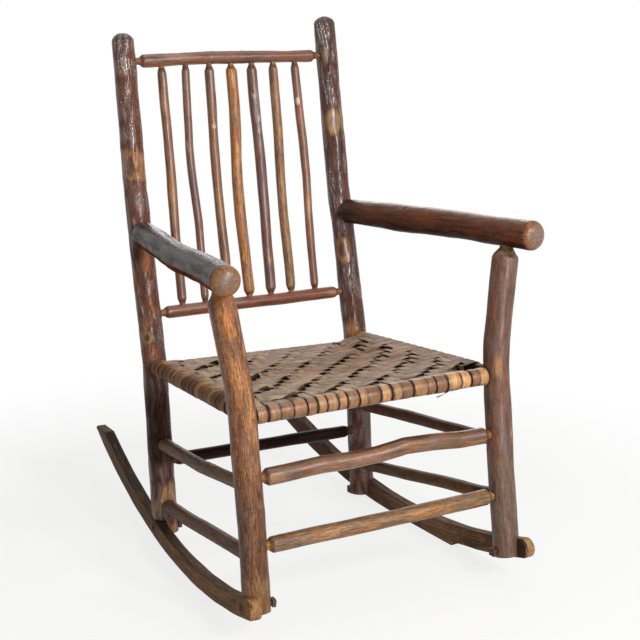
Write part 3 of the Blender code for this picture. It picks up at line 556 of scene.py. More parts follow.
# marks are what the photograph shows on a stick: the place in its frame, half length and half width in mm
# (no width for a band right round), the tint, how soft the edge is, the furrows and the shine left in it,
# how far a band leans and a knot swells (mm), and the size and tint of a knot's heart
markDefaults = dict(soft=0.9, furrow=0.1, shine=1.0, tilt=0.0, swell=0.0, heart=None, core="#33211a")
sticks = {
    "rear_post_left": dict(postBark, seed=11, bark="#613929", dark="#2f1b14", lap="rocker_left", marks=(
        dict(at=(124, 54), half=(44, 9), tint="#644136", furrow=0.85, shine=2.2),
        dict(at=(130, 112), half=(60, 9), tint="#644136", furrow=0.85, shine=2.0),
        dict(at=(137, 198), half=(32, 10), tint="#644136", furrow=0.85, shine=1.6),
        dict(at=(131, 164), half=(29, None), tint="#8f6238", furrow=0.4, tilt=-5, soft=0.12),
        dict(at=(131, 166), half=(20, 10.5), tint="#4e362e", furrow=0.8, soft=0.25),
        dict(at=(125, 71.5), half=(13, 7), tint="#74563a"),
        dict(at=(147.5, 259), half=(30, 11), tint="#97643a", furrow=0.5, shine=0.3, soft=0.7),
        # painted shadow of the arm on the post, with less shine
        dict(at=(136, 253), half=(20, 12), tint="#2b1a15", shine=0.3, soft=0.8),
        dict(at=(149, 302), half=(50, 13), tint="#62402f", furrow=0.7, shine=0.3),
        dict(at=(137, 283), half=(32, 6), tint="#8e5a34", furrow=0.6, shine=0.4, soft=0.8),
        dict(at=(153, 305), half=(30, 5), tint="#8e5a34", furrow=0.6, shine=0.4, soft=0.8),
        dict(at=(146, 322), half=(12, 14), tint="#8a5c36", furrow=0.6, shine=0.4, soft=0.8),
        dict(at=(153, 350), half=(18, 12), tint="#8a5a40", furrow=0.7, shine=0.4),
        dict(at=(148, 337), half=(15, 14), tint="#8c6c42", heart=0.45, core="#48382a", shine=0.5, soft=0.5),
        # painted shadow of the seat: a dark band right round the post below it, with little shine
        dict(at=(157, 426), half=(84, None), tint="#2c1c13", furrow=0.8, shine=0.2, soft=0.5),
        dict(at=(171, 494), half=(33, 22), tint="#ac8558", furrow=0.6, soft=0.3),
        dict(at=(157, 507), half=(26, 18), tint="#9a7a54", furrow=0.5, soft=0.8),
        dict(at=(175, 526), half=(15, 12), tint="#86683a", soft=0.7))),
    "rear_post_right": dict(postBark, seed=12, bark="#563223", dark="#28160f", lap="rocker_right", marks=(
        dict(at=(322, 40), half=(36, 9), tint="#3c261d", furrow=1.0, shine=1.5),
        dict(at=(330, 88), half=(44, 9), tint="#3c261d", furrow=1.0, shine=1.5),
        dict(at=(339, 175), half=(60, 9), tint="#4a2e24", furrow=0.9, shine=1.4),
        dict(at=(333, 122), half=(29, 18), tint="#9a7747", heart=0.36, core="#6e5a58", swell=1.5, soft=0.45),
        dict(at=(343, 249.5), half=(28, 18), tint="#936a3e", heart=0.55, core="#55382a", swell=1.5,
             soft=0.3),
        dict(at=(362, 292), half=(18, 8), tint="#86603a", soft=0.7),
        dict(at=(352, 329), half=(26, 15), tint="#a8764c", furrow=0.6, soft=0.8),
        dict(at=(325.6, 59), half=(18, 6), tint="#5c4530"))),
    "front_post_left": dict(
        peeledBark, seed=13, lap="rocker_left", bark="#855b3b", dark="#4c3220", ochre="#b3783e",
        peel=0.16, plates=0.35, lumps=0.9, furrow=0.9, streaks=0.95, mottle=0.35, cut="#80532c", marks=(
            dict(at=(252, 540), half=(130, None), tint="#583d2a", furrow=0.9, soft=0.5),
            # painted shadow of the arm's dome down the post's left side near its top
            dict(at=(211, 306), half=(26, 8), tint="#3a281c", soft=0.8),
            dict(at=(228, 318), half=(34, 11), tint="#a86c38", furrow=0.6, soft=0.8),
            dict(at=(252, 416), half=(60, 9), tint="#a87a52", furrow=0.6),
            dict(at=(236, 372), half=(36, 12), tint="#b07c50", furrow=0.7),
            dict(at=(257, 588), half=(34, 34), tint="#785a3a", furrow=0.7, soft=0.8))),
    "front_post_right": dict(
        seed=14, lap="rocker_right", finish="satinBark", bark="#5e3d29", dark="#2d1b13", ochre="#a5673a",
        plates=0.2, lumps=0.8, furrow=0.65, streaks=0.9, cut="#6e5b45", tenon="#4f3d2b", marks=(
            dict(at=(490, 300), half=(80, 13), tint="#6c3a28", furrow=0.4),
            dict(at=(503, 515), half=(120, None), tint="#56412f", furrow=0.65, soft=0.7),
            dict(at=(496, 365), half=(24, 9), tint="#96683c"),
            dict(at=(494, 334), half=(24, 10), tint="#452e21"),
            dict(at=(511, 318), half=(40, 5), tint="#7c4c2e"))),
    "arm_left": dict(
        seed=15, finish="wornBark", bark="#342b25", dark="#231a13", ochre="#6a4c3a", cut="#3a342f",
        upper="#453d37", under="#744a37", underFrom=(-0.2, 0.25), endTint="#7a5228", endSheen="#6a574a",
        endShine=6.0, topShine=4.0, dome=0.55, lumps=0.9, plates=0.25, furrow=0.35, mottle=0.3, marks=(
            dict(at=(146, 244), half=(26, None), tint="#2c2420", shine=0.4),)),
    "arm_right": dict(
        seed=16, finish="wornBark", bark="#633f31", dark="#342114", ochre="#7a4526", cut="#241712",
        upper="#67452f", under="#3c251d", endTint="#784a2e", endSheen="#6e5d52", endShine=6.0, topShine=2.7,
        dome=0.55, domeFade=(0.05, 0.5), lumps=0.9, plates=0.25, furrow=0.4, mottle=1.0, marks=(
            dict(at=(354, 210), half=(40, None), tint="#34221b", shine=0.7),
            dict(at=(430, 219), half=(60, 14), tint="#6e4328"),
            dict(at=(412.5, 210.5), half=(9, 9), tint="#5e4a3c", heart=0.5, soft=0.5),
            dict(at=(402, 229), half=(60, 20), tint="#4a2e24", furrow=0.4, swell=5.0))),
    "crest_rail": dict(smoothBark, seed=17, bark="#6c4837", dark="#3e281d", lumps=1.0, marks=(
        dict(at=(160, 67), half=(55, 7), tint="#8a6038"),
        dict(at=(181, 58), half=(36, 9), tint="#8a6858"),
        dict(at=(248, 58), half=(34, 12), tint="#4a3024"),
        dict(at=(301, 55), half=(38, 14), tint="#583b2e"),
        dict(at=(212.5, 54), half=(3, None), tint="#5a3c2c", swell=0.3, soft=0.6),
        dict(at=(243, 57), half=(3, None), tint="#5a3c2c", swell=0.3, soft=0.6))),
    "lower_back_rail": dict(smoothBark, seed=18, bark="#704533", dark="#42271a", marks=(
        dict(at=(332, 292.5), half=(18, 10), tint="#8a6242"),)),
    "spindle_1": dict(smoothBark, seed=21, bark="#76523f", dark="#483027", marks=(
        dict(at=(160.5, 79), half=(30, 12), tint="#55402f"),
        dict(at=(163.5, 103), half=(22, 9), tint="#97714c"),
        dict(at=(173, 196), half=(60, 9), tint="#94703f"),
        dict(at=(181, 286), half=(34, 12), tint="#5a3a2c"))),
    "spindle_2": dict(smoothBark, seed=22, bark="#6d4c3f", dark="#402d25", marks=(
        dict(at=(184.5, 92), half=(40, 9), tint="#7a6358"),
        dict(at=(187.5, 147), half=(12, 7), tint="#96714e"),
        dict(at=(193, 188), half=(46, 12), tint="#5a4038"))),
    "spindle_3": dict(smoothBark, seed=23, bark="#744f36", dark="#472e21", marks=(
        dict(at=(208.5, 78), half=(36, 12), tint="#523a2e"),
        dict(at=(214.6, 126), half=(5, 5), tint="#b58a58", soft=0.3),
        dict(at=(220, 205), half=(48, 10), tint="#8d6844"))),
    "spindle_4": dict(peeledBark, seed=24, bark="#946842", dark="#794f33", ochre="#b58348", marks=(
        dict(at=(231, 80), half=(26, 9), tint="#b07c46", furrow=0.4),
        dict(at=(237, 128), half=(26, 10), tint="#7c4f33", furrow=0.4),
        dict(at=(239, 158), half=(24, 9), tint="#b3844e", furrow=0.4))),
    "spindle_5": dict(smoothBark, seed=25, bark="#694a41", dark="#3c2b25", marks=(
        dict(at=(252, 74), half=(34, 12), tint="#4a362e"),
        dict(at=(259, 112), half=(38, 9), tint="#7d706a", furrow=0.9, swell=0.8, soft=0.3),
        dict(at=(254.5, 96), half=(7, 3), tint="#a39c90", soft=0.5),
        dict(at=(257, 106), half=(5, 4), tint="#2e211c", soft=0.6),
        dict(at=(259.5, 118), half=(8, 3), tint="#aaa294", soft=0.5),
        dict(at=(257, 124), half=(4, 3), tint="#2e211c", soft=0.6),
        dict(at=(259.5, 131), half=(5, 3), tint="#a39c90", soft=0.5),
        dict(at=(262, 165), half=(40, 12), tint="#523a32"))),
    "spindle_6": dict(peeledBark, seed=26, bark="#876749", dark="#5d412e", ochre="#a97a48", marks=(
        dict(at=(273, 76), half=(32, 12), tint="#5c4131", furrow=0.4),
        dict(at=(279, 160), half=(40, 12), tint="#6d4b35", furrow=0.4))),
    "spindle_7": dict(smoothBark, seed=27, bark="#7f5642", dark="#4a3327", marks=(
        dict(at=(295, 76), half=(34, 12), tint="#5c3e33"),
        dict(at=(298.4, 101), half=(8, 4), tint="#d8cdb8", soft=0.3),
        dict(at=(308, 206), half=(26, 9), tint="#97704a"))),
    "stretcher_front_upper": dict(
        smoothBark, seed=31, bark="#6f513b", dark="#3c2a1d", under="#80603f", streaks=0.9, furrow=0.45,
        mottle=1.2, marks=(
            dict(at=(274, 477), half=(18, 12), tint="#946840", furrow=0.4),
            dict(at=(363, 458), half=(40, 11), tint="#855f4d", furrow=0.4),
            dict(at=(457, 438), half=(52, 14), tint="#593f2e", furrow=0.4))),
    "stretcher_front_lower": dict(
        peeledBark, seed=32, bark="#775c40", dark="#4f3c2b", ochre="#a07448", furrow=0.5,
        mottle=1.1, marks=(
            dict(at=(280, 543), half=(26, 14), tint="#5e4a3a", furrow=0.5),
            dict(at=(327, 532), half=(42, 11), tint="#9a7054", furrow=0.5),
            dict(at=(422, 512), half=(52, 11), tint="#966a40", furrow=0.5))),
    "stretcher_rear": dict(smoothBark, finish="scuffedBark", seed=33, bark="#24150f", dark="#140b08",
                           ochre="#3a2418", under="#3c251b"),
    "stretcher_left_upper": dict(dullBark, seed=34, bark="#6a5037", dark="#463327", ochre="#80552f"),
    "stretcher_left_lower": dict(dullBark, seed=35, bark="#694c3a", dark="#443127", ochre="#80552f"),
    "stretcher_right_upper": dict(dullBark, seed=36, bark="#5d4031", dark="#36241a"),
    "stretcher_right_lower": dict(dullBark, seed=37, bark="#664f37", dark="#3d2d1f"),
    **{"seat_rail_" + side: rail for side in ("front", "rear", "left", "right")},
}
# the layers of noise in bark: cells round the stick (a count, or a width in mm and a least count) and their
# length in mm; a layer that drifts wanders round the stick as it runs
barkLayers = dict(
    lumps=dict(seed=3, cells=4, length=55),
    plates=dict(seed=4, width=7, least=6, length=42, drifts=True),
    grain=dict(seed=5, width=2.6, least=12, length=12),
    facets=dict(seed=6, cells=9, length=11),
    broad=dict(seed=7, cells=5, length=75),
    streak=dict(seed=8, width=4.5, least=8, length=40, drifts=True),
    fine=dict(seed=9, width=3, least=12, length=14),
    drift=dict(seed=10, cells=5, length=45),
    ruddy=dict(seed=11, width=9, least=5, length=17, drifts=True),
    ashen=dict(seed=12, width=9, least=5, length=17, drifts=True))
# mottle: what redder and greyer patches of bark do to red, green and blue
barkMottle = dict(ruddy=(1.28, 1.0, 0.72), ashen=(0.95, 1.04, 1.22))
# where each look comes in, from none of it to all: upper, polished and dusty by how far the surface faces up
# or down, heart by the way out from a knot's middle, the painted highlight in a dome's middle by the way
# into the dome, the others by noise
barkRange = dict(upper=(0.35, 0.95), streaks=(-0.2, 0.9), mottle=(0.0, 0.7), peel=(-0.12, 0.25),
                 polished=(0.2, 0.75), dusty=(-0.1, 0.4), ridges=(0.25, 0.85), heart=(1.15, 0.75),
                 endSheen=(0.45, 1.05))
# the mesh in metres: its rows and columns, the foot below which a lapped post is carried on straight, a wave
# of the crook and the thinnest radius that has bark; drift is an angle; whittled and bare are shares of the
# stick's own taper
stickPitch = dict(alongRow=1.8 * mm, aroundColumn=1.7 * mm, fewest=28, most=84, domeRows=18,
                  footClear=95 * mm, crookLength=130 * mm, thinnest=3 * mm, drift=0.25,
                  whittled=(0.95, 0.82), bare=(0.72, 0.60))
# the saw cut of a lap: its tint, and in mm the gap to the rocker, the step at the shoulder and the dark seam
sawCut = dict(tint="#8d6238", gap=0.3, step=0.1, seam=1.5)


def rockerFace(name):
    # the rocker's flat faces: its run and outward direction in plan, and the distances of both faces
    points, edges = nodeEdges(name)
    plan = points[:, :2] - points[:, :2].mean(axis=0)
    run = np.linalg.svd(plan, full_matrices=False)[2][0]
    run = run * -np.sign(run[1])
    outward = np.array([run[1], -run[0]])
    outward = outward * np.sign(outward[0] * points[:, 0].mean())
    distance = points[:, :2] @ outward
    return dict(run=np.array([*run, 0]), outward=np.array([*outward, 0]), inner=distance.min(),
                outer=distance.max(), edges=edges, points=points)


rockerFaces = {"rocker_" + label: rockerFace("rocker_" + label) for label in ("left", "right")}
traced = {}


def rowPlaces(length, dome, lapped):
    # even rows, drawn together towards ends that narrow; over a dome they follow its arc
    count = int(length / stickPitch["alongRow"])
    if dome:
        arc = np.sin(np.linspace(0, np.pi / 2, stickPitch["domeRows"], endpoint=False))
        below = np.linspace(0, length - dome, count, endpoint=False)
        return np.concatenate([below, length - dome + dome * arc])
    share = np.linspace(0, 1, count)
    eased = np.sin(np.pi / 2 * share) if lapped else 0.5 - 0.5 * np.cos(np.pi * share)
    return length * (0.3 * share + 0.7 * eased)


def sawLap(grid, lap, foot, tangent, pitch):
    # outside the rocker's inner face the foot is sawn away, up to the rocker's top edge beside it, and the
    # rows on either side of the saw cut are drawn to it; gives where it is sawn and where the cut's seam is
    gap = sawCut["gap"] * mm
    beyond = np.maximum(grid @ lap["outward"] - (lap["inner"] - gap), 0)
    shoulder = planeCut(lap["edges"], foot, lap["run"])[:, 2].max() + gap
    rise = grid[..., 2] - shoulder
    slide = np.where((rise < 0) & (rise > -pitch), -rise - sawCut["step"] * mm, 0)
    slide = np.where((rise >= 0) & (rise < pitch), -rise, slide)
    grid = grid + ((beyond > 0) * slide / tangent[:, None, 2])[..., None] * tangent[:, None]
    sawn = (rise < 0) * beyond
    seam = (beyond > 0) * np.exp(-(rise / (sawCut["seam"] * mm)) ** 2)
    return grid - sawn[..., None] * lap["outward"], sawn > 0, seam


def makeStick(name, settings):
    # surface: centre line + radius(along, around) in the two directions square to the line, where the radius
    # is the solid's own plus lumps, bark plates between furrows, fine grain and the swelling of each knot
    lap = rockerFaces.get(settings["lap"])
    traced[name] = traceStick(name, stickPitch["footClear"] if lap else 0.0)
    knotsAlong, centres, radii = traced[name]
    length = knotsAlong[-1]
    body = np.median(radii)
    ring = turn * body
    dome = settings["dome"] * np.interp(length - 1.2 * body, knotsAlong, radii)
    along = rowPlaces(length, dome, lap)
    columns = int(np.clip(ring / stickPitch["aroundColumn"], stickPitch["fewest"], stickPitch["most"]))
    around = np.linspace(0, turn, columns, endpoint=False)[None, :]
    column = along[:, None]
    seed = settings["seed"] * 100
    centre = smoothInterp(along, knotsAlong, centres)
    tangent = unit(np.gradient(centre, along, axis=0))
    first, second = planeAxes(tangent, toCamera)
    radius = np.interp(along, knotsAlong, radii)[:, None]
    # a dome is half an oval: its radius falls as the root of 1 - rise^2
    rise = np.clip((column - length + dome) / max(dome, mm), 0, 1)
    start = np.interp(length - dome, knotsAlong, radii)
    radius = np.where(rise > 0, start * np.sqrt(1 - rise ** 2), radius)
    domed = smooth(*settings["domeFade"], rise)
    # where hand tools cut the stick thinner than its own taper, it is whittled, and bare on the tenon
    inner = (knotsAlong > 0.25 * length) & (knotsAlong < 0.75 * length)
    taper = np.polyval(np.polyfit(knotsAlong[inner], radii[inner], 1), along)[:, None]
    whittled = smooth(*stickPitch["whittled"], radius / taper) * (1 - domed)
    bare = smooth(*stickPitch["bare"], radius / taper) * (1 - domed)
    barkOn = (1 - whittled) * (1 - 0.7 * domed)
    wave = [lineNoise(seed + k, along, stickPitch["crookLength"])[:, None] for k in (1, 2)]
    calm = np.sin(np.pi * column / length) ** 0.5
    centre = centre + settings["crook"] * mm * calm * (wave[0] * first + wave[1] * second)

    def layer(title, angle):
        cells = barkLayers[title]
        count = cells.get("cells") or max(int(ring / (cells["width"] * mm)), cells["least"])
        return latticeNoise(seed + cells["seed"], angle, column, count, cells["length"] * mm)

    drift = around + stickPitch["drift"] * layer("drift", around)
    bark = {title: layer(title, drift if "drifts" in cells else around)
            for title, cells in barkLayers.items()}
    broad, streak, fine = [bark[title] for title in ("broad", "streak", "fine")]
    plates = np.abs(bark["plates"]) ** 0.7
    relief = barkOn * (settings["lumps"] * bark["lumps"] + settings["plates"] * (2 * plates - 1.1)
                       + settings["grain"] * bark["grain"]) + 0.35 * whittled * bark["facets"]
    # tint: the bark with broad and streaky darkening, redder and greyer patches, and ochre where the outer
    # bark has gone
    tint = np.broadcast_to(linearColour(settings["bark"]), (len(along), columns, 3))
    upright = np.cos(around) * first[:, 2:] + np.sin(around) * second[:, 2:]
    # a paler, greyer top on the arms: partly the bark's own worn grey, partly painted sheen
    if settings["upper"]:
        tint = mixTint(tint, settings["upper"], smooth(*barkRange["upper"], upright + 0.25 * broad))
    if settings["under"]:
        shaded = smooth(*settings["underFrom"], -upright + 0.35 * broad + 0.2 * fine)
        tint = mixTint(tint, settings["under"], shaded)
    darkened = smooth(*barkRange["streaks"], 0.5 * broad + 0.6 * streak)
    tint = mixTint(tint, settings["dark"], settings["streaks"] * darkened)
    for title, gains in barkMottle.items():
        amount = settings["mottle"] * smooth(*barkRange["mottle"], bark[title] + 0.35 * fine)
        tint = tint * (1 + (np.array(gains) - 1) * amount[..., None])
    whole = 1 - 1.6 * settings["peel"]
    gone = smooth(*barkRange["peel"], 0.7 * broad + 0.5 * streak + 0.35 * fine - whole)
    tint = mixTint(tint, settings["ochre"], 0.8 * gone)
    relief = relief - 0.25 * gone * barkOn
    furrow = settings["furrow"] * barkOn * (1 - 0.6 * gone)
    # hands polish the top of an arm and its end, dust dulls what is underneath
    polished = smooth(*barkRange["polished"], upright) - 0.35 * smooth(*barkRange["dusty"], -upright)
    shine = 1 + (settings["topShine"] - 1) * polished
    shine = shine + (settings["endShine"] - shine) * domed
    shine = shine * (1 - 0.7 * whittled)
    # on ridged bark the shine lies on the ridges
    ridges = smooth(*barkRange["ridges"], plates)
    shine = shine * (1 + settings["plates"] * (settings["ridgeShine"] * ridges - 1))
    seen, scale = pictureOf(centre)
    for mark in settings["marks"]:
        # the mark's row is the one nearest to its place in the frame; across, its offset is the angle's sine
        mark = {**markDefaults, **mark}
        row = np.argmin(np.linalg.norm(seen - mark["at"], axis=1))
        sideways = np.array([toRight, -toTop]) @ second[row]
        offset = (np.array(mark["at"]) - seen[row]) @ sideways / (np.linalg.norm(sideways) * scale[row])
        angle = np.arcsin(np.clip(offset / radius[row, 0], -0.95, 0.95))
        away = (around - angle + np.pi) % turn - np.pi
        halfLong, halfWide = mark["half"]
        across = body * away / (halfWide * mm) if halfWide else 0.25 * np.sin(around + seed)
        tilt = mark["tilt"] * mm * np.sin(away)
        spread = np.hypot((column - along[row] - tilt) / (halfLong * mm), across)
        spread = spread * (1 + 0.10 * streak + 0.08 * fine)
        inside = 1 - smooth(1 - mark["soft"], 1 + 0.35 * mark["soft"], spread)
        tint = mixTint(tint, mark["tint"], 0.92 * inside * (0.82 + 0.18 * streak))
        furrow = furrow + (mark["furrow"] - furrow) * inside
        shine = shine * (1 + (mark["shine"] - 1) * inside)
        # a scar has a raised rim, a soft stain has none
        rim = 0.5 * (1 - mark["soft"]) * np.exp(-((spread - 0.95) / 0.25) ** 2)
        relief = relief + rim + mark["swell"] * np.exp(-spread ** 2)
        if mark["heart"]:
            core = smooth(*barkRange["heart"], spread / mark["heart"])
            tint = mixTint(tint, mark["core"], 0.9 * core)
            relief = relief - 0.5 * np.exp(-(spread / mark["heart"]) ** 2)
    tint = mixTint(tint, settings["cut"], whittled * (0.85 + 0.15 * fine))
    tint = mixTint(tint, settings["tenon"], bare * (0.8 + 0.2 * fine))
    tint = mixTint(tint, settings["endTint"] or settings["cut"], domed * (0.85 + 0.15 * fine))
    # a paler grey middle on an arm's dome: painted highlight
    if settings["endSheen"]:
        middle = smooth(*barkRange["endSheen"], rise + 0.10 * fine + 0.08 * streak)
        tint = mixTint(tint, settings["endSheen"], middle)
    radius = radius + relief * mm * (radius > stickPitch["thinnest"])
    aside, ahead = radius * np.cos(around), radius * np.sin(around)
    grid = centre[:, None] + aside[..., None] * first[:, None] + ahead[..., None] * second[:, None]
    if lap:
        grid, sawn, seam = sawLap(grid, lap, centre[0], tangent, np.gradient(along)[:, None])
        tint = mixTint(tint, sawCut["tint"], 0.6 * sawn)
        tint = mixTint(tint, settings["dark"], 0.9 * seam)
    place = np.stack([aside, ahead, column + 0 * radius + seed * mm], axis=-1)
    addTubes(name + "_wood", grid, "pole", dict(woodTint=tint, place=place, furrow=furrow, shine=shine),
             settings["finish"], [name])


for name, own in sticks.items():
    makeStick(name, {**stickDefaults, **own})
print("sticks made:", len(sticks))


# Rockers: sawn boards with worn edges; lengths in mm

rocker = dict(edgeRadius=3.0, edgeWander=1.2, wanderLength=50, rowPitch=2.0, perCorner=5, perSide=14,
              endGap=0.3, dents=0.25, wear=0.4, furrow=0.5, rear=(100, -150), trodden=(-50, 200),
              top=(0.80, 0.95), mottled=(-0.4, 0.9), wearAndSheen=(-0.3, 0.5), scuffed=(0.35, 0.8),
              markEdge=(1.2, 0.7), noseReach=30, noseFade=(-12, 10), noseWander=8, seed=51, sharpAngle=40)
# the ranges run from none of a look to all of it: rear along the board, top by the height in it, markEdge by
# the way out from a mark's middle, the others by noise; along trodden the dark top fades towards the front
# its layers of noise: a step of the seed, the cells round the board and their length
rockerLayers = dict(dents=(10, 12, 30), nicks=(11, 24, 12), broad=(20, 6, 90), wearAndSheen=(21, 16, 25),
                    mottle=(22, 18, 18))
rockerLooks = {
    "left": dict(tint="#8e6c4e", dark="#5e4836", upper="#3f3128", worn="#946a46", nose="#8f6c48",
                 rear="#644a38", marks=(
                     dict(at=(243, 612), half=(2.5, 6), tint="#1d130e"),
                     dict(at=(251, 606), half=(14, 3), tint="#5a3f28"))),
    "right": dict(tint="#8a6c54", dark="#5c4636", upper="#453730", worn="#a07450", nose="#967754",
                  rear="#3a2c26", split=dict(at=(449.5, 545), reach=150.0, drop=11.0, least=0.4), marks=(
                      # painted shade on the inner face between the post and the nose
                      dict(at=(520.5, 546), half=(17, 40), tint="#2e2119"),)),
}


def boardSection(halfThick, halfHigh, edge, perCorner, perSide):
    # a rounded rectangle: four quarter circles joined by straight sides, for every row at once; also says
    # which points are on its corners
    quarter = np.linspace(0, np.pi / 2, perCorner)
    angles = np.concatenate([quarter + k * np.pi / 2 for k in range(4)])
    signs = np.repeat([[1, 1], [-1, 1], [-1, -1], [1, -1]], perCorner, axis=0)
    x = signs[:, 0] * (halfThick - edge) + edge * np.cos(angles)
    z = signs[:, 1] * (halfHigh - edge) + edge * np.sin(angles)
    stops = np.concatenate([np.concatenate([np.arange(perCorner - 1) + k * perCorner,
                                            k * perCorner + perCorner - 1 + np.arange(perSide) / perSide])
                            for k in range(4)])
    low = np.floor(stops).astype(int)
    high = (low + 1) % (4 * perCorner)
    part = stops - low
    corner = stops % perCorner < perCorner - 1
    return x[:, low] * (1 - part) + x[:, high] * part, z[:, low] * (1 - part) + z[:, high] * part, corner


def makeRocker(label):
    # profile carried along a path: the path is the solid's own middle line, the section its height and
    # thickness
    name = "rocker_" + label
    face = rockerFaces[name]
    looks = rockerLooks[label]
    reach = face["points"] @ face["run"]
    rows = int((reach.max() - reach.min()) / (rocker["rowPitch"] * mm))
    share = np.linspace(0, 1, rows)
    share = 0.3 * share + 0.7 * (0.5 - 0.5 * np.cos(np.pi * share))
    endGap = rocker["endGap"] * mm
    along = reach.min() + endGap + (reach.max() - reach.min() - 2 * endGap) * share
    column = along[:, None]
    rings = [planeCut(face["edges"], face["run"] * s, face["run"]) for s in along]
    low = np.array([ring[:, 2].min() for ring in rings])
    high = np.array([ring[:, 2].max() for ring in rings])
    if "split" in looks:
        # a splinter has sprung from the underside: it leaves the curve straight and breaks off short
        split = looks["split"]
        under = face["run"] * column + face["outward"] * face["inner"] + upwards * low[:, None]
        tip = along[np.argmin(np.linalg.norm(pictureOf(under)[0] - split["at"], axis=1))]
        sprung = np.clip(1 - (tip - along) / (split["reach"] * mm), 0, 1) ** 1.5 * (along <= tip)
        low = np.where(sprung > 0, np.maximum(low - split["drop"] * mm * sprung, split["least"] * mm), low)
    seed = rocker["seed"] + (label == "right")
    halfThick = (face["outer"] - face["inner"]) / 2
    halfHigh = ((high - low) / 2)[:, None]
    wander = lineNoise(seed, along, rocker["wanderLength"] * mm)[:, None]
    edge = np.minimum((rocker["edgeRadius"] + rocker["edgeWander"] * wander) * mm, 0.8 * halfHigh)
    x, z, corner = boardSection(halfThick, halfHigh, edge, rocker["perCorner"], rocker["perSide"])
    around = np.linspace(0, turn, x.shape[1], endpoint=False)[None, :]

    board = {title: latticeNoise(seed + step, around, column, cells, cellLength * mm)
             for title, (step, cells, cellLength) in rockerLayers.items()}
    broad, mottle = board["broad"], board["mottle"]
    dents = rocker["dents"] * mm * np.abs(board["dents"] + 0.5 * board["nicks"])
    middle = (face["outer"] + face["inner"]) / 2
    grid = (face["run"] * column[..., None] + face["outward"] * (middle + x - dents)[..., None]
            + upwards * ((high + low)[:, None] / 2 + z)[..., None])
    # tint: brown boards darker on top and to the rear, with mottles, rubbed edges and a bare nose
    tint = np.broadcast_to(linearColour(looks["tint"]), (*x.shape, 3))
    tint = mixTint(tint, looks["rear"], 0.8 * smooth(*rocker["rear"], column / mm))
    trodden = 1 - 0.65 * smooth(*rocker["trodden"], column / mm)
    tint = mixTint(tint, looks["upper"], trodden * smooth(*rocker["top"], z / halfHigh))
    tint = mixTint(tint, looks["dark"], 0.7 * smooth(*rocker["mottled"], broad + 0.5 * mottle))
    wearAndSheen = smooth(*rocker["wearAndSheen"], board["wearAndSheen"])
    scuffed = 0.3 * smooth(*rocker["scuffed"], mottle - broad)
    tint = mixTint(tint, looks["worn"], np.where(corner, rocker["wear"] * wearAndSheen, scuffed))
    fromNose = (column - reach.max()) / mm + rocker["noseReach"]
    nose = smooth(*rocker["noseFade"], fromNose + rocker["noseWander"] * mottle)
    tint = mixTint(tint, looks["nose"], 0.8 * nose)
    furrow = rocker["furrow"] + 0.3 * mottle
    shown = x * np.sign(toCamera @ face["outward"]) > 0.5 * halfThick
    for mark in looks["marks"]:
        # a mark sits on the face that the photograph shows, at the point nearest to its place in the frame
        away = np.linalg.norm(pictureOf(grid)[0] - mark["at"], axis=-1) + np.where(shown, 0, view["frame"])
        row, spot = np.unravel_index(np.argmin(away), away.shape)
        halfLong, halfTall = mark["half"]
        spread = np.hypot((column - along[row]) / (halfLong * mm), (z - z[row, spot]) / (halfTall * mm))
        tint = mixTint(tint, mark["tint"], 0.9 * shown * smooth(*rocker["markEdge"], spread))
    painted = dict(woodTint=tint, place=np.stack([x, z, column + 0 * x], axis=-1), furrow=furrow)
    if label == "left":
        # its outward side is the other way round, so its columns run backwards
        grid = grid[:, ::-1]
        painted = {title: values[:, ::-1] for title, values in painted.items()}
    addTubes(name + "_board", grid, "pole", painted, "sawnOak", [name], rocker["sharpAngle"])


for label in ("left", "right"):
    makeRocker(label)
print("rockers made")


# Woven seat: strips wound front to rear and side to side, over two and under two; lengths in mm, fills are
# shares of a strip's own width, least is the narrowest strip's share of the mean; the ranges run from none
# of a thing to all of it, levelEnds, crowded, archLeft, archEnds and the range of the painted sheen as
# shares of the way across, archUp and archDown in strips; dark is the tint of the dust and painted shade,
# and the pale grey is the painted sheen on the front left of the top

seat = dict(wraps=21, courses=19, wrapLeast=0.68, courseLeast=0.8, thickness=1.1, crown=0.25, lift=1.6,
            brow=4.6, proud=0.9, railSwell=1.02, clear=0.6, fill=(0.94, 1.02), railFill=(0.86, 0.98),
            sideFill=(0.70, 0.90), underFill=1.06, stray=2.0, strayShare=0.2, sag=4.0, slopeWidth=130.0,
            loose=(0.55, 1.3), wrapDive=(0.15, 0.65), wrapRise=(0.4, 0.95), courseDive=(0.35, 0.95),
            courseRise=(0.05, 0.6), archSpread=(0.25, 1.3), cornerGap=30.0, sunk=7.0, sunkFrom=(8, 16),
            sunkTo=(62, 48), rowsPerCourse=6, bendRows=12, columns=12, furrow=0.45, patches=0.40,
            patchLength=30, wanderLength=50, seed=71, wrapSeed=900, courseSeed=950, patchSeed=1000,
            wanderSeed=1100, sharpAngle=70, levelEnds=(0, 0.14), sideGap=(0, 30), sheenRange=(0.9, 0.2),
            crowded=(0.72, 1.0), crowdedCourses=2.2, archUp=(-1.0, 0.05), archDown=(0.5, 0.15),
            archLeft=(0.45, 0.15), archEnds=(0.02, 0.09), frontZone=(20, -6), leftZone=(30, 0),
            dipShade=(-0.25, -1.0),
            top=("#94785e", "#8a6e56", "#9a7f65", "#8f796a", "#937b5c", "#967356"),
            front=("#9a7049", "#835b3a", "#a67c52", "#946943", "#6c4a2e"),
            left=("#96704f", "#81593e", "#9c7450", "#6a4a34"),
            dark="#241812", wearAndSheen="#a6927d", frontGlow=(0.86, 1.16), frontShine=5.0)
# the broken end of a splint under the front rail: where it shows, how far it hangs (mm), and its section
looseEnd = dict(at=(446.5, 391), reach=(-24.0, -5.0, -9.0), width=8.0, thick=0.9, twist=1.0, rows=24,
                columns=10, tint="#857a6c", furrow=0.3)


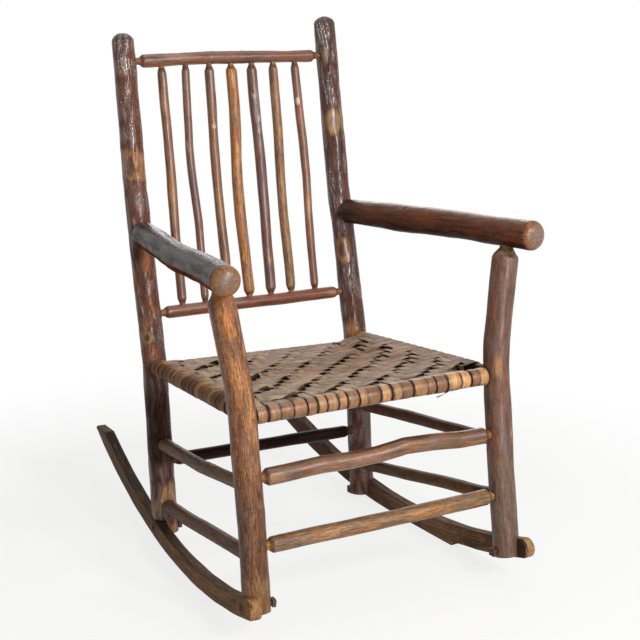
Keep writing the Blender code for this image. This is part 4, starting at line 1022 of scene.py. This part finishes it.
def makeSeat():
    rails = {side: traced["seat_rail_" + side] for side in ("front", "rear", "left", "right")}
    rng = np.random.default_rng(seat["seed"])
    courses, wraps = seat["courses"], seat["wraps"]
    hold = np.median(rails["front"][2]) * seat["railSwell"] + (seat["thickness"] / 2 + seat["clear"]) * mm
    hangLooseEnd(rails["front"][1] - hold * upwards)

    def railAt(side, value):
        # a rail's middle: the front and rear rails give y and height at an x, the side rails x and height at
        # a y; as these run forwards, they are read backwards
        line = rails[side][1]
        known, other = (0, 1) if side in ("front", "rear") else (1, 0)
        line = line[::-1] if known else line
        return np.interp(value, line[:, known], line[:, other]), np.interp(value, line[:, known], line[:, 2])

    def postAt(name, height):
        # a post's middle in plan at a height, and its radius
        line, radii = traced[name][1:]
        return [np.interp(height, line[:, 2], line[:, k]) for k in range(2)], np.median(radii)

    def sheet(x, y, upper):
        # the winding's height: straight between the cross rails with a sag, rising to the rails at the sides
        yf, zf = railAt("front", x)
        yr, zr = railAt("rear", x)
        v = np.clip((y - yf) / (yr - yf), 0, 1)
        base = zf + (zr - zf) * v + upper * hold
        base = base - seat["sag"] * mm * 4 * v * (1 - v)
        ends = smooth(*seat["levelEnds"], v) * smooth(*seat["levelEnds"], 1 - v)
        for side, sign in (("left", 1), ("right", -1)):
            xs, zs = railAt(side, y)
            gap = np.maximum((x - xs) * sign, 0)
            slope = 1 - smooth(0, seat["slopeWidth"] * mm, gap)
            slope = slope * (ends + (1 - ends) * (1 - smooth(*seat["sideGap"], gap / mm)))
            base = base + slope * (zs + upper * hold - base)
        return base

    def weave(step, t, count, strips, dive, rise):
        # over two and under two, one step further with each strip: +1 over, -1 under, eased between in the
        # given parts of the way, and no two crossings alike
        t = np.clip(t, -1, count)
        low = np.floor(t).astype(int)
        ease = np.where(step(low) > step(low + 1), smooth(*dive, t - low), smooth(*rise, t - low))
        loose = rng.uniform(*seat["loose"], (strips, count + 3))
        row = np.arange(strips)[:, None]
        here = step(low) * loose[row, low + 1]
        after = step(low + 1) * loose[row, low + 2]
        return (here * (1 - ease) + after * ease) * smooth(-1, -0.4, t) * smooth(-1, -0.4, count - 1 - t)

    def unevenPlaces(count, least):
        # middles and widths of strips that share a length of one, none narrower than the least
        steps = rng.uniform(least, 2 - least, count)
        edges = np.concatenate([[0], np.cumsum(steps)]) / steps.sum()
        return (edges[1:] + edges[:-1]) / 2, np.diff(edges)

    def stripCount(value, places):
        # how many strips in from the first one a place lies
        knots = np.concatenate([[2 * places[0] - places[1]], places, [2 * places[-1] - places[-2]]])
        return np.interp(value, knots, np.arange(-1, len(places) + 1))

    def paintedSheenAt(back, aside):
        # painted sheen: the front left is painted paler and greyer, less with the way back and to the right
        return smooth(*seat["sheenRange"], 0.7 * back + 0.9 * aside)

    # each strip is a loop: over the top, round the far rail, back underneath and round the near rail; v is
    # the way across, upper goes from 1 on top to -1 below, outer is how far round the rail it stands out
    ramp = np.linspace(0, 1, courses * seat["rowsPerCourse"])
    bend = np.linspace(0, np.pi, seat["bendRows"] + 2)[1:-1]
    v = np.concatenate([ramp, 0 * bend + 1, ramp[::-1], 0 * bend])[None, :]
    upper = np.concatenate([0 * ramp + 1, np.cos(bend), 0 * ramp - 1, -np.cos(bend)])[None, :]
    outer = np.concatenate([0 * ramp, np.sin(bend), 0 * ramp, -np.sin(bend)])[None, :]
    onRun = outer == 0
    onTop = onRun & (upper > 0)
    below = onRun & (upper < 0)

    def strayed(seed, strips):
        # how each strip wanders along its way, the same on top and below
        stray = np.stack([lineNoise(seed + k, ramp, seat["strayShare"]) for k in range(strips)])
        parts = [stray, stray[:, -1:] + 0 * bend, stray[:, ::-1], stray[:, :1] + 0 * bend]
        return seat["stray"] * mm * np.concatenate(parts, axis=1)

    def loopHeight(x, y, near, far):
        # on a run the sheet's height, round a rail a half circle about its middle
        sheetHeight = np.where(upper > 0, sheet(x, y, 1), sheet(x, y, -1))
        return np.where(onRun, sheetHeight, np.where(v > 0.5, far, near) + hold * upper)

    frontHeights, rearHeights = rails["front"][1][:, 2], rails["rear"][1][:, 2]
    frontLeft, frontRadius = postAt("front_post_left", frontHeights[0])
    frontRight = postAt("front_post_right", frontHeights[-1])[0]
    rearLeft, rearRadius = postAt("rear_post_left", rearHeights[0])
    rearRight = postAt("rear_post_right", rearHeights[-1])[0]
    frontSpan = (frontLeft[0] + frontRadius, frontRight[0] - frontRadius)
    rearSpan = (rearLeft[0] + rearRadius, rearRight[0] - rearRadius)
    yStart = frontLeft[1] + frontRadius
    yStop = rearLeft[1] - rearRadius
    wrapPlace, wrapWide = unevenPlaces(wraps, seat["wrapLeast"])
    coursePlace, courseWide = unevenPlaces(courses, seat["courseLeast"])
    courseY = yStart + (yStop - yStart) * coursePlace

    # front-to-rear strips
    number = np.arange(wraps)[:, None]
    xf = frontSpan[0] + (frontSpan[1] - frontSpan[0]) * wrapPlace[:, None]
    xr = rearSpan[0] + (rearSpan[1] - rearSpan[0]) * wrapPlace[:, None]
    x = xf + (xr - xf) * v + strayed(seat["wrapSeed"], wraps)
    yf, zf = railAt("front", x)
    yr, zr = railAt("rear", x)
    yTop = yf + (yr - yf) * v
    y = yTop + hold * outer
    z = loopHeight(x, yTop, zf, zr)
    over = weave(lambda course: np.where((number - course) % 4 < 2, 1.0, -1.0), stripCount(yTop, courseY),
                 courses, wraps, seat["wrapDive"], seat["wrapRise"]) * onRun
    # beside the right front post the last wrap sinks out of sight before the first course
    sunk = smooth(wraps - 2.6, wraps - 1.4, number) * onTop
    back = (yTop - yf) / mm
    sunk = sunk * smooth(*seat["sunkFrom"], back) * smooth(*seat["sunkTo"], back)
    over = over - (over + seat["sunk"]) * sunk
    wide = wrapWide[:, None] * ((frontSpan[1] - frontSpan[0]) * (1 - v) + (rearSpan[1] - rearSpan[0]) * v)
    makeStrips("seat_wraps", np.stack([x, y, z], axis=-1), np.array([-1.0, 0, 0]), wide, over, 0 * over, rng,
               dict(front=smooth(*seat["frontZone"], (y - yf) / mm), left=0 * y, under=below,
                    wearAndSheen=paintedSheenAt(v, wrapPlace[:, None])))

    # side-to-side strips; the first ones on the right start further back, which leaves a gap beside the post
    number = np.arange(courses)[:, None]
    crowded = smooth(*seat["crowded"], v) * np.exp(-number / seat["crowdedCourses"])
    y = courseY[:, None] + strayed(seat["courseSeed"], courses) + seat["cornerGap"] * mm * crowded
    xl, zl = railAt("left", y)
    xr, zr = railAt("right", y)
    xTop = xl + (xr - xl) * v
    x = xTop + hold * outer
    z = loopHeight(xTop, y, zl, zr)
    back = np.clip((y - frontLeft[1]) / (rearLeft[1] - frontLeft[1]), 0, 1)
    left = frontSpan[0] + (rearSpan[0] - frontSpan[0]) * back
    right = frontSpan[1] + (rearSpan[1] - frontSpan[1]) * back
    t = stripCount((xTop - left) / (right - left), wrapPlace)
    over = weave(lambda wrap: np.where((wrap - number) % 4 < 2, -1.0, 1.0), t, wraps, courses,
                 seat["courseDive"], seat["courseRise"]) * onRun
    wide = (yStop - yStart) * courseWide[:, None] * (1 - 0.45 * crowded)
    # where a wrap dives under a course (every fourth one), the course's front edge rises towards it over the
    # wrap before, drops behind it, and leaves a dark slit, higher at the left and lower at the rear
    beyond = (t - number - 0.4) % 4 - 2.6
    nearest = np.clip(np.rint(t - beyond), 0, wraps - 1).astype(int)
    arch = smooth(*seat["archUp"], beyond) * smooth(*seat["archDown"], beyond)
    arch = arch * rng.uniform(*seat["archSpread"], (courses, wraps))[number, nearest]
    arch = arch * (1 + 1.2 * smooth(*seat["archLeft"], v))
    arch = arch * (1 - 0.7 * smooth(courses - 4, courses - 1, number))
    brow = arch * onTop * smooth(*seat["archEnds"], v) * smooth(*seat["archEnds"], 1 - v)
    makeStrips("seat_courses", np.stack([x, y, z], axis=-1), np.array([0, 1.0, 0]), wide, over, brow, rng,
               dict(front=0 * x, left=smooth(*seat["leftZone"], (x - xl) / mm), under=below,
                    wearAndSheen=paintedSheenAt(coursePlace[:, None], v)))


def hangLooseEnd(line):
    # a ribbon that starts inside the winding, droops as the power 1.4 of its length and twists as it goes
    start = line[np.argmin(np.abs(pictureOf(line)[0][:, 0] - looseEnd["at"][0]))]
    t = np.linspace(0, 1, looseEnd["rows"])[:, None]
    droop = np.concatenate([t, np.sin(np.pi * t), t ** 1.4], axis=1)
    path = start + mm * np.array(looseEnd["reach"]) * droop
    first, second = planeAxes(unit(np.gradient(path, axis=0)), upwards)
    psi = np.linspace(0, turn, looseEnd["columns"], endpoint=False)
    roll = looseEnd["twist"] * t
    wide = looseEnd["width"] / 2 * mm * np.cos(psi) * (1 - 0.5 * t)
    thick = looseEnd["thick"] / 2 * mm * np.sin(psi) + 0 * t
    up = wide * np.sin(roll) + thick * np.cos(roll)
    aside = thick * np.sin(roll) - wide * np.cos(roll)
    grid = path[:, None] + up[..., None] * first[:, None] + aside[..., None] * second[:, None]
    flat = 0 * wide
    place = np.stack([wide, thick, looseEnd["width"] * mm * t + flat], axis=-1)
    looks = dict(woodTint=linearColour(looseEnd["tint"]) + flat[..., None], place=place,
                 furrow=flat + looseEnd["furrow"], shine=flat + 1)
    addTubes("loose_splint", grid, "pole", looks, "barkSplint", sharpAngle=seat["sharpAngle"])


def makeStrips(name, path, lateral, wide, over, brow, rng, zones):
    # ribbons: a thin flat oval carried along each closed path, lifted at each crossing it goes over,
    # and drawn in a little where it goes under
    strips, rows = path.shape[:2]
    psi = np.linspace(0, turn, seat["columns"], endpoint=False)
    flat = np.sign(np.cos(psi)) * np.abs(np.cos(psi)) ** 0.6
    thick = np.sign(np.sin(psi)) * np.abs(np.sin(psi)) ** 0.8
    tangent = unit(np.roll(path, -1, axis=1) - np.roll(path, 1, axis=1))
    side = unit(lateral - (tangent @ lateral)[..., None] * tangent)
    normal = np.cross(tangent, side)
    steps = np.linalg.norm(np.diff(path, axis=1), axis=2)
    along = np.concatenate([np.zeros((strips, 1)), np.cumsum(steps, axis=1)], axis=1)
    onRail = np.maximum(zones["front"], zones["left"])
    wander = np.stack([lineNoise(seat["wanderSeed"] + k + strips, along[k], seat["wanderLength"] * mm)
                       for k in range(strips)])
    fill = rng.uniform(*seat["fill"], (strips, 1))
    fill = fill + (rng.uniform(*seat["railFill"], (strips, 1)) - fill) * zones["front"]
    fill = fill + (rng.uniform(*seat["sideFill"], (strips, 1)) - fill) * zones["left"]
    half = wide / 2 * fill * (1 - 0.14 * np.maximum(-over, 0) + 0.05 * wander)
    half = np.where(zones["under"], wide / 2 * seat["underFill"], half)
    over = np.where(zones["under"], 0.4 * over, over)
    proud = seat["lift"] * over + rng.uniform(0.0, seat["proud"], (strips, 1)) * onRail
    centre = path + normal * (mm * proud)[..., None]
    crown = seat["crown"] * mm * (1 - flat ** 2)
    raised = seat["brow"] * mm * brow[..., None] * smooth(0.2, -1.0, flat)
    raised = raised + seat["thickness"] / 2 * mm * thick + crown
    grid = (centre[:, :, None] + side[:, :, None] * (half[..., None] * flat)[..., None]
            + normal[:, :, None] * raised[..., None])

    def stripTints(palette):
        picks = rng.integers(0, len(palette), strips)
        return np.array([linearColour(palette[pick]) for pick in picks])[:, None, None]

    tint = stripTints(seat["top"]) * np.ones((1, rows, len(psi), 1))
    # painted sheen: a pale grey mixed into the top towards the front left
    tint = mixTint(tint, seat["wearAndSheen"], 0.85 * zones["wearAndSheen"][..., None])
    tint = tint + (stripTints(seat["front"]) - tint) * zones["front"][..., None, None]
    tint = tint + (stripTints(seat["left"]) - tint) * zones["left"][..., None, None]
    # the front roll is lighter towards the right, and every strip is patchy
    glow = 1 + (np.linspace(*seat["frontGlow"], strips)[:, None] - 1) * zones["front"]
    patch = np.stack([latticeNoise(seat["patchSeed"] + k, psi[None, :], along[k][:, None], 3,
                                   seat["patchLength"] * mm) for k in range(strips)])
    tint = tint * glow[..., None, None] * (1 + seat["patches"] * patch)[..., None]
    # dust and painted shade: the dips where a strip goes under are painted dark, and so are the strips'
    # edges, most on the rails, where they stand for the shade in the seams between wraps
    dipShade = 0.78 * smooth(*seat["dipShade"], over)[..., None] * (1 - onRail[..., None])
    dustAndShade = np.maximum((0.25 + 0.65 * onRail[..., None]) * np.abs(flat) ** 6, dipShade)
    tint = mixTint(tint, seat["dark"], dustAndShade)
    # each strip's place is shifted, so that no two show the same fibres
    shift = 0.31 * np.arange(strips)[:, None, None]
    place = np.stack([half[..., None] * flat + shift, 0 * half[..., None] + thick * seat["thickness"] * mm,
                      along[..., None] + 0 * flat], axis=-1)
    shine = 1 + seat["frontShine"] * zones["front"][..., None] + 0 * dustAndShade
    looks = dict(woodTint=tint, place=place, furrow=seat["furrow"] + 0 * dustAndShade, shine=shine)
    addTubes(name, grid, "loop", looks, "barkSplint", ["woven_seat"], seat["sharpAngle"])


makeSeat()
print("seat woven")


# Iron: the bolts, nuts and nails keep their solids' own shapes and get the rusty iron

for name in frame["nodes"]:
    if name.startswith(("rocker_bolt", "rocker_nut", "nail")):
        frame["nodes"][name].data.materials.clear()
        frame["nodes"][name].data.materials.append(finishes["rustyIron"])
print("iron finished")
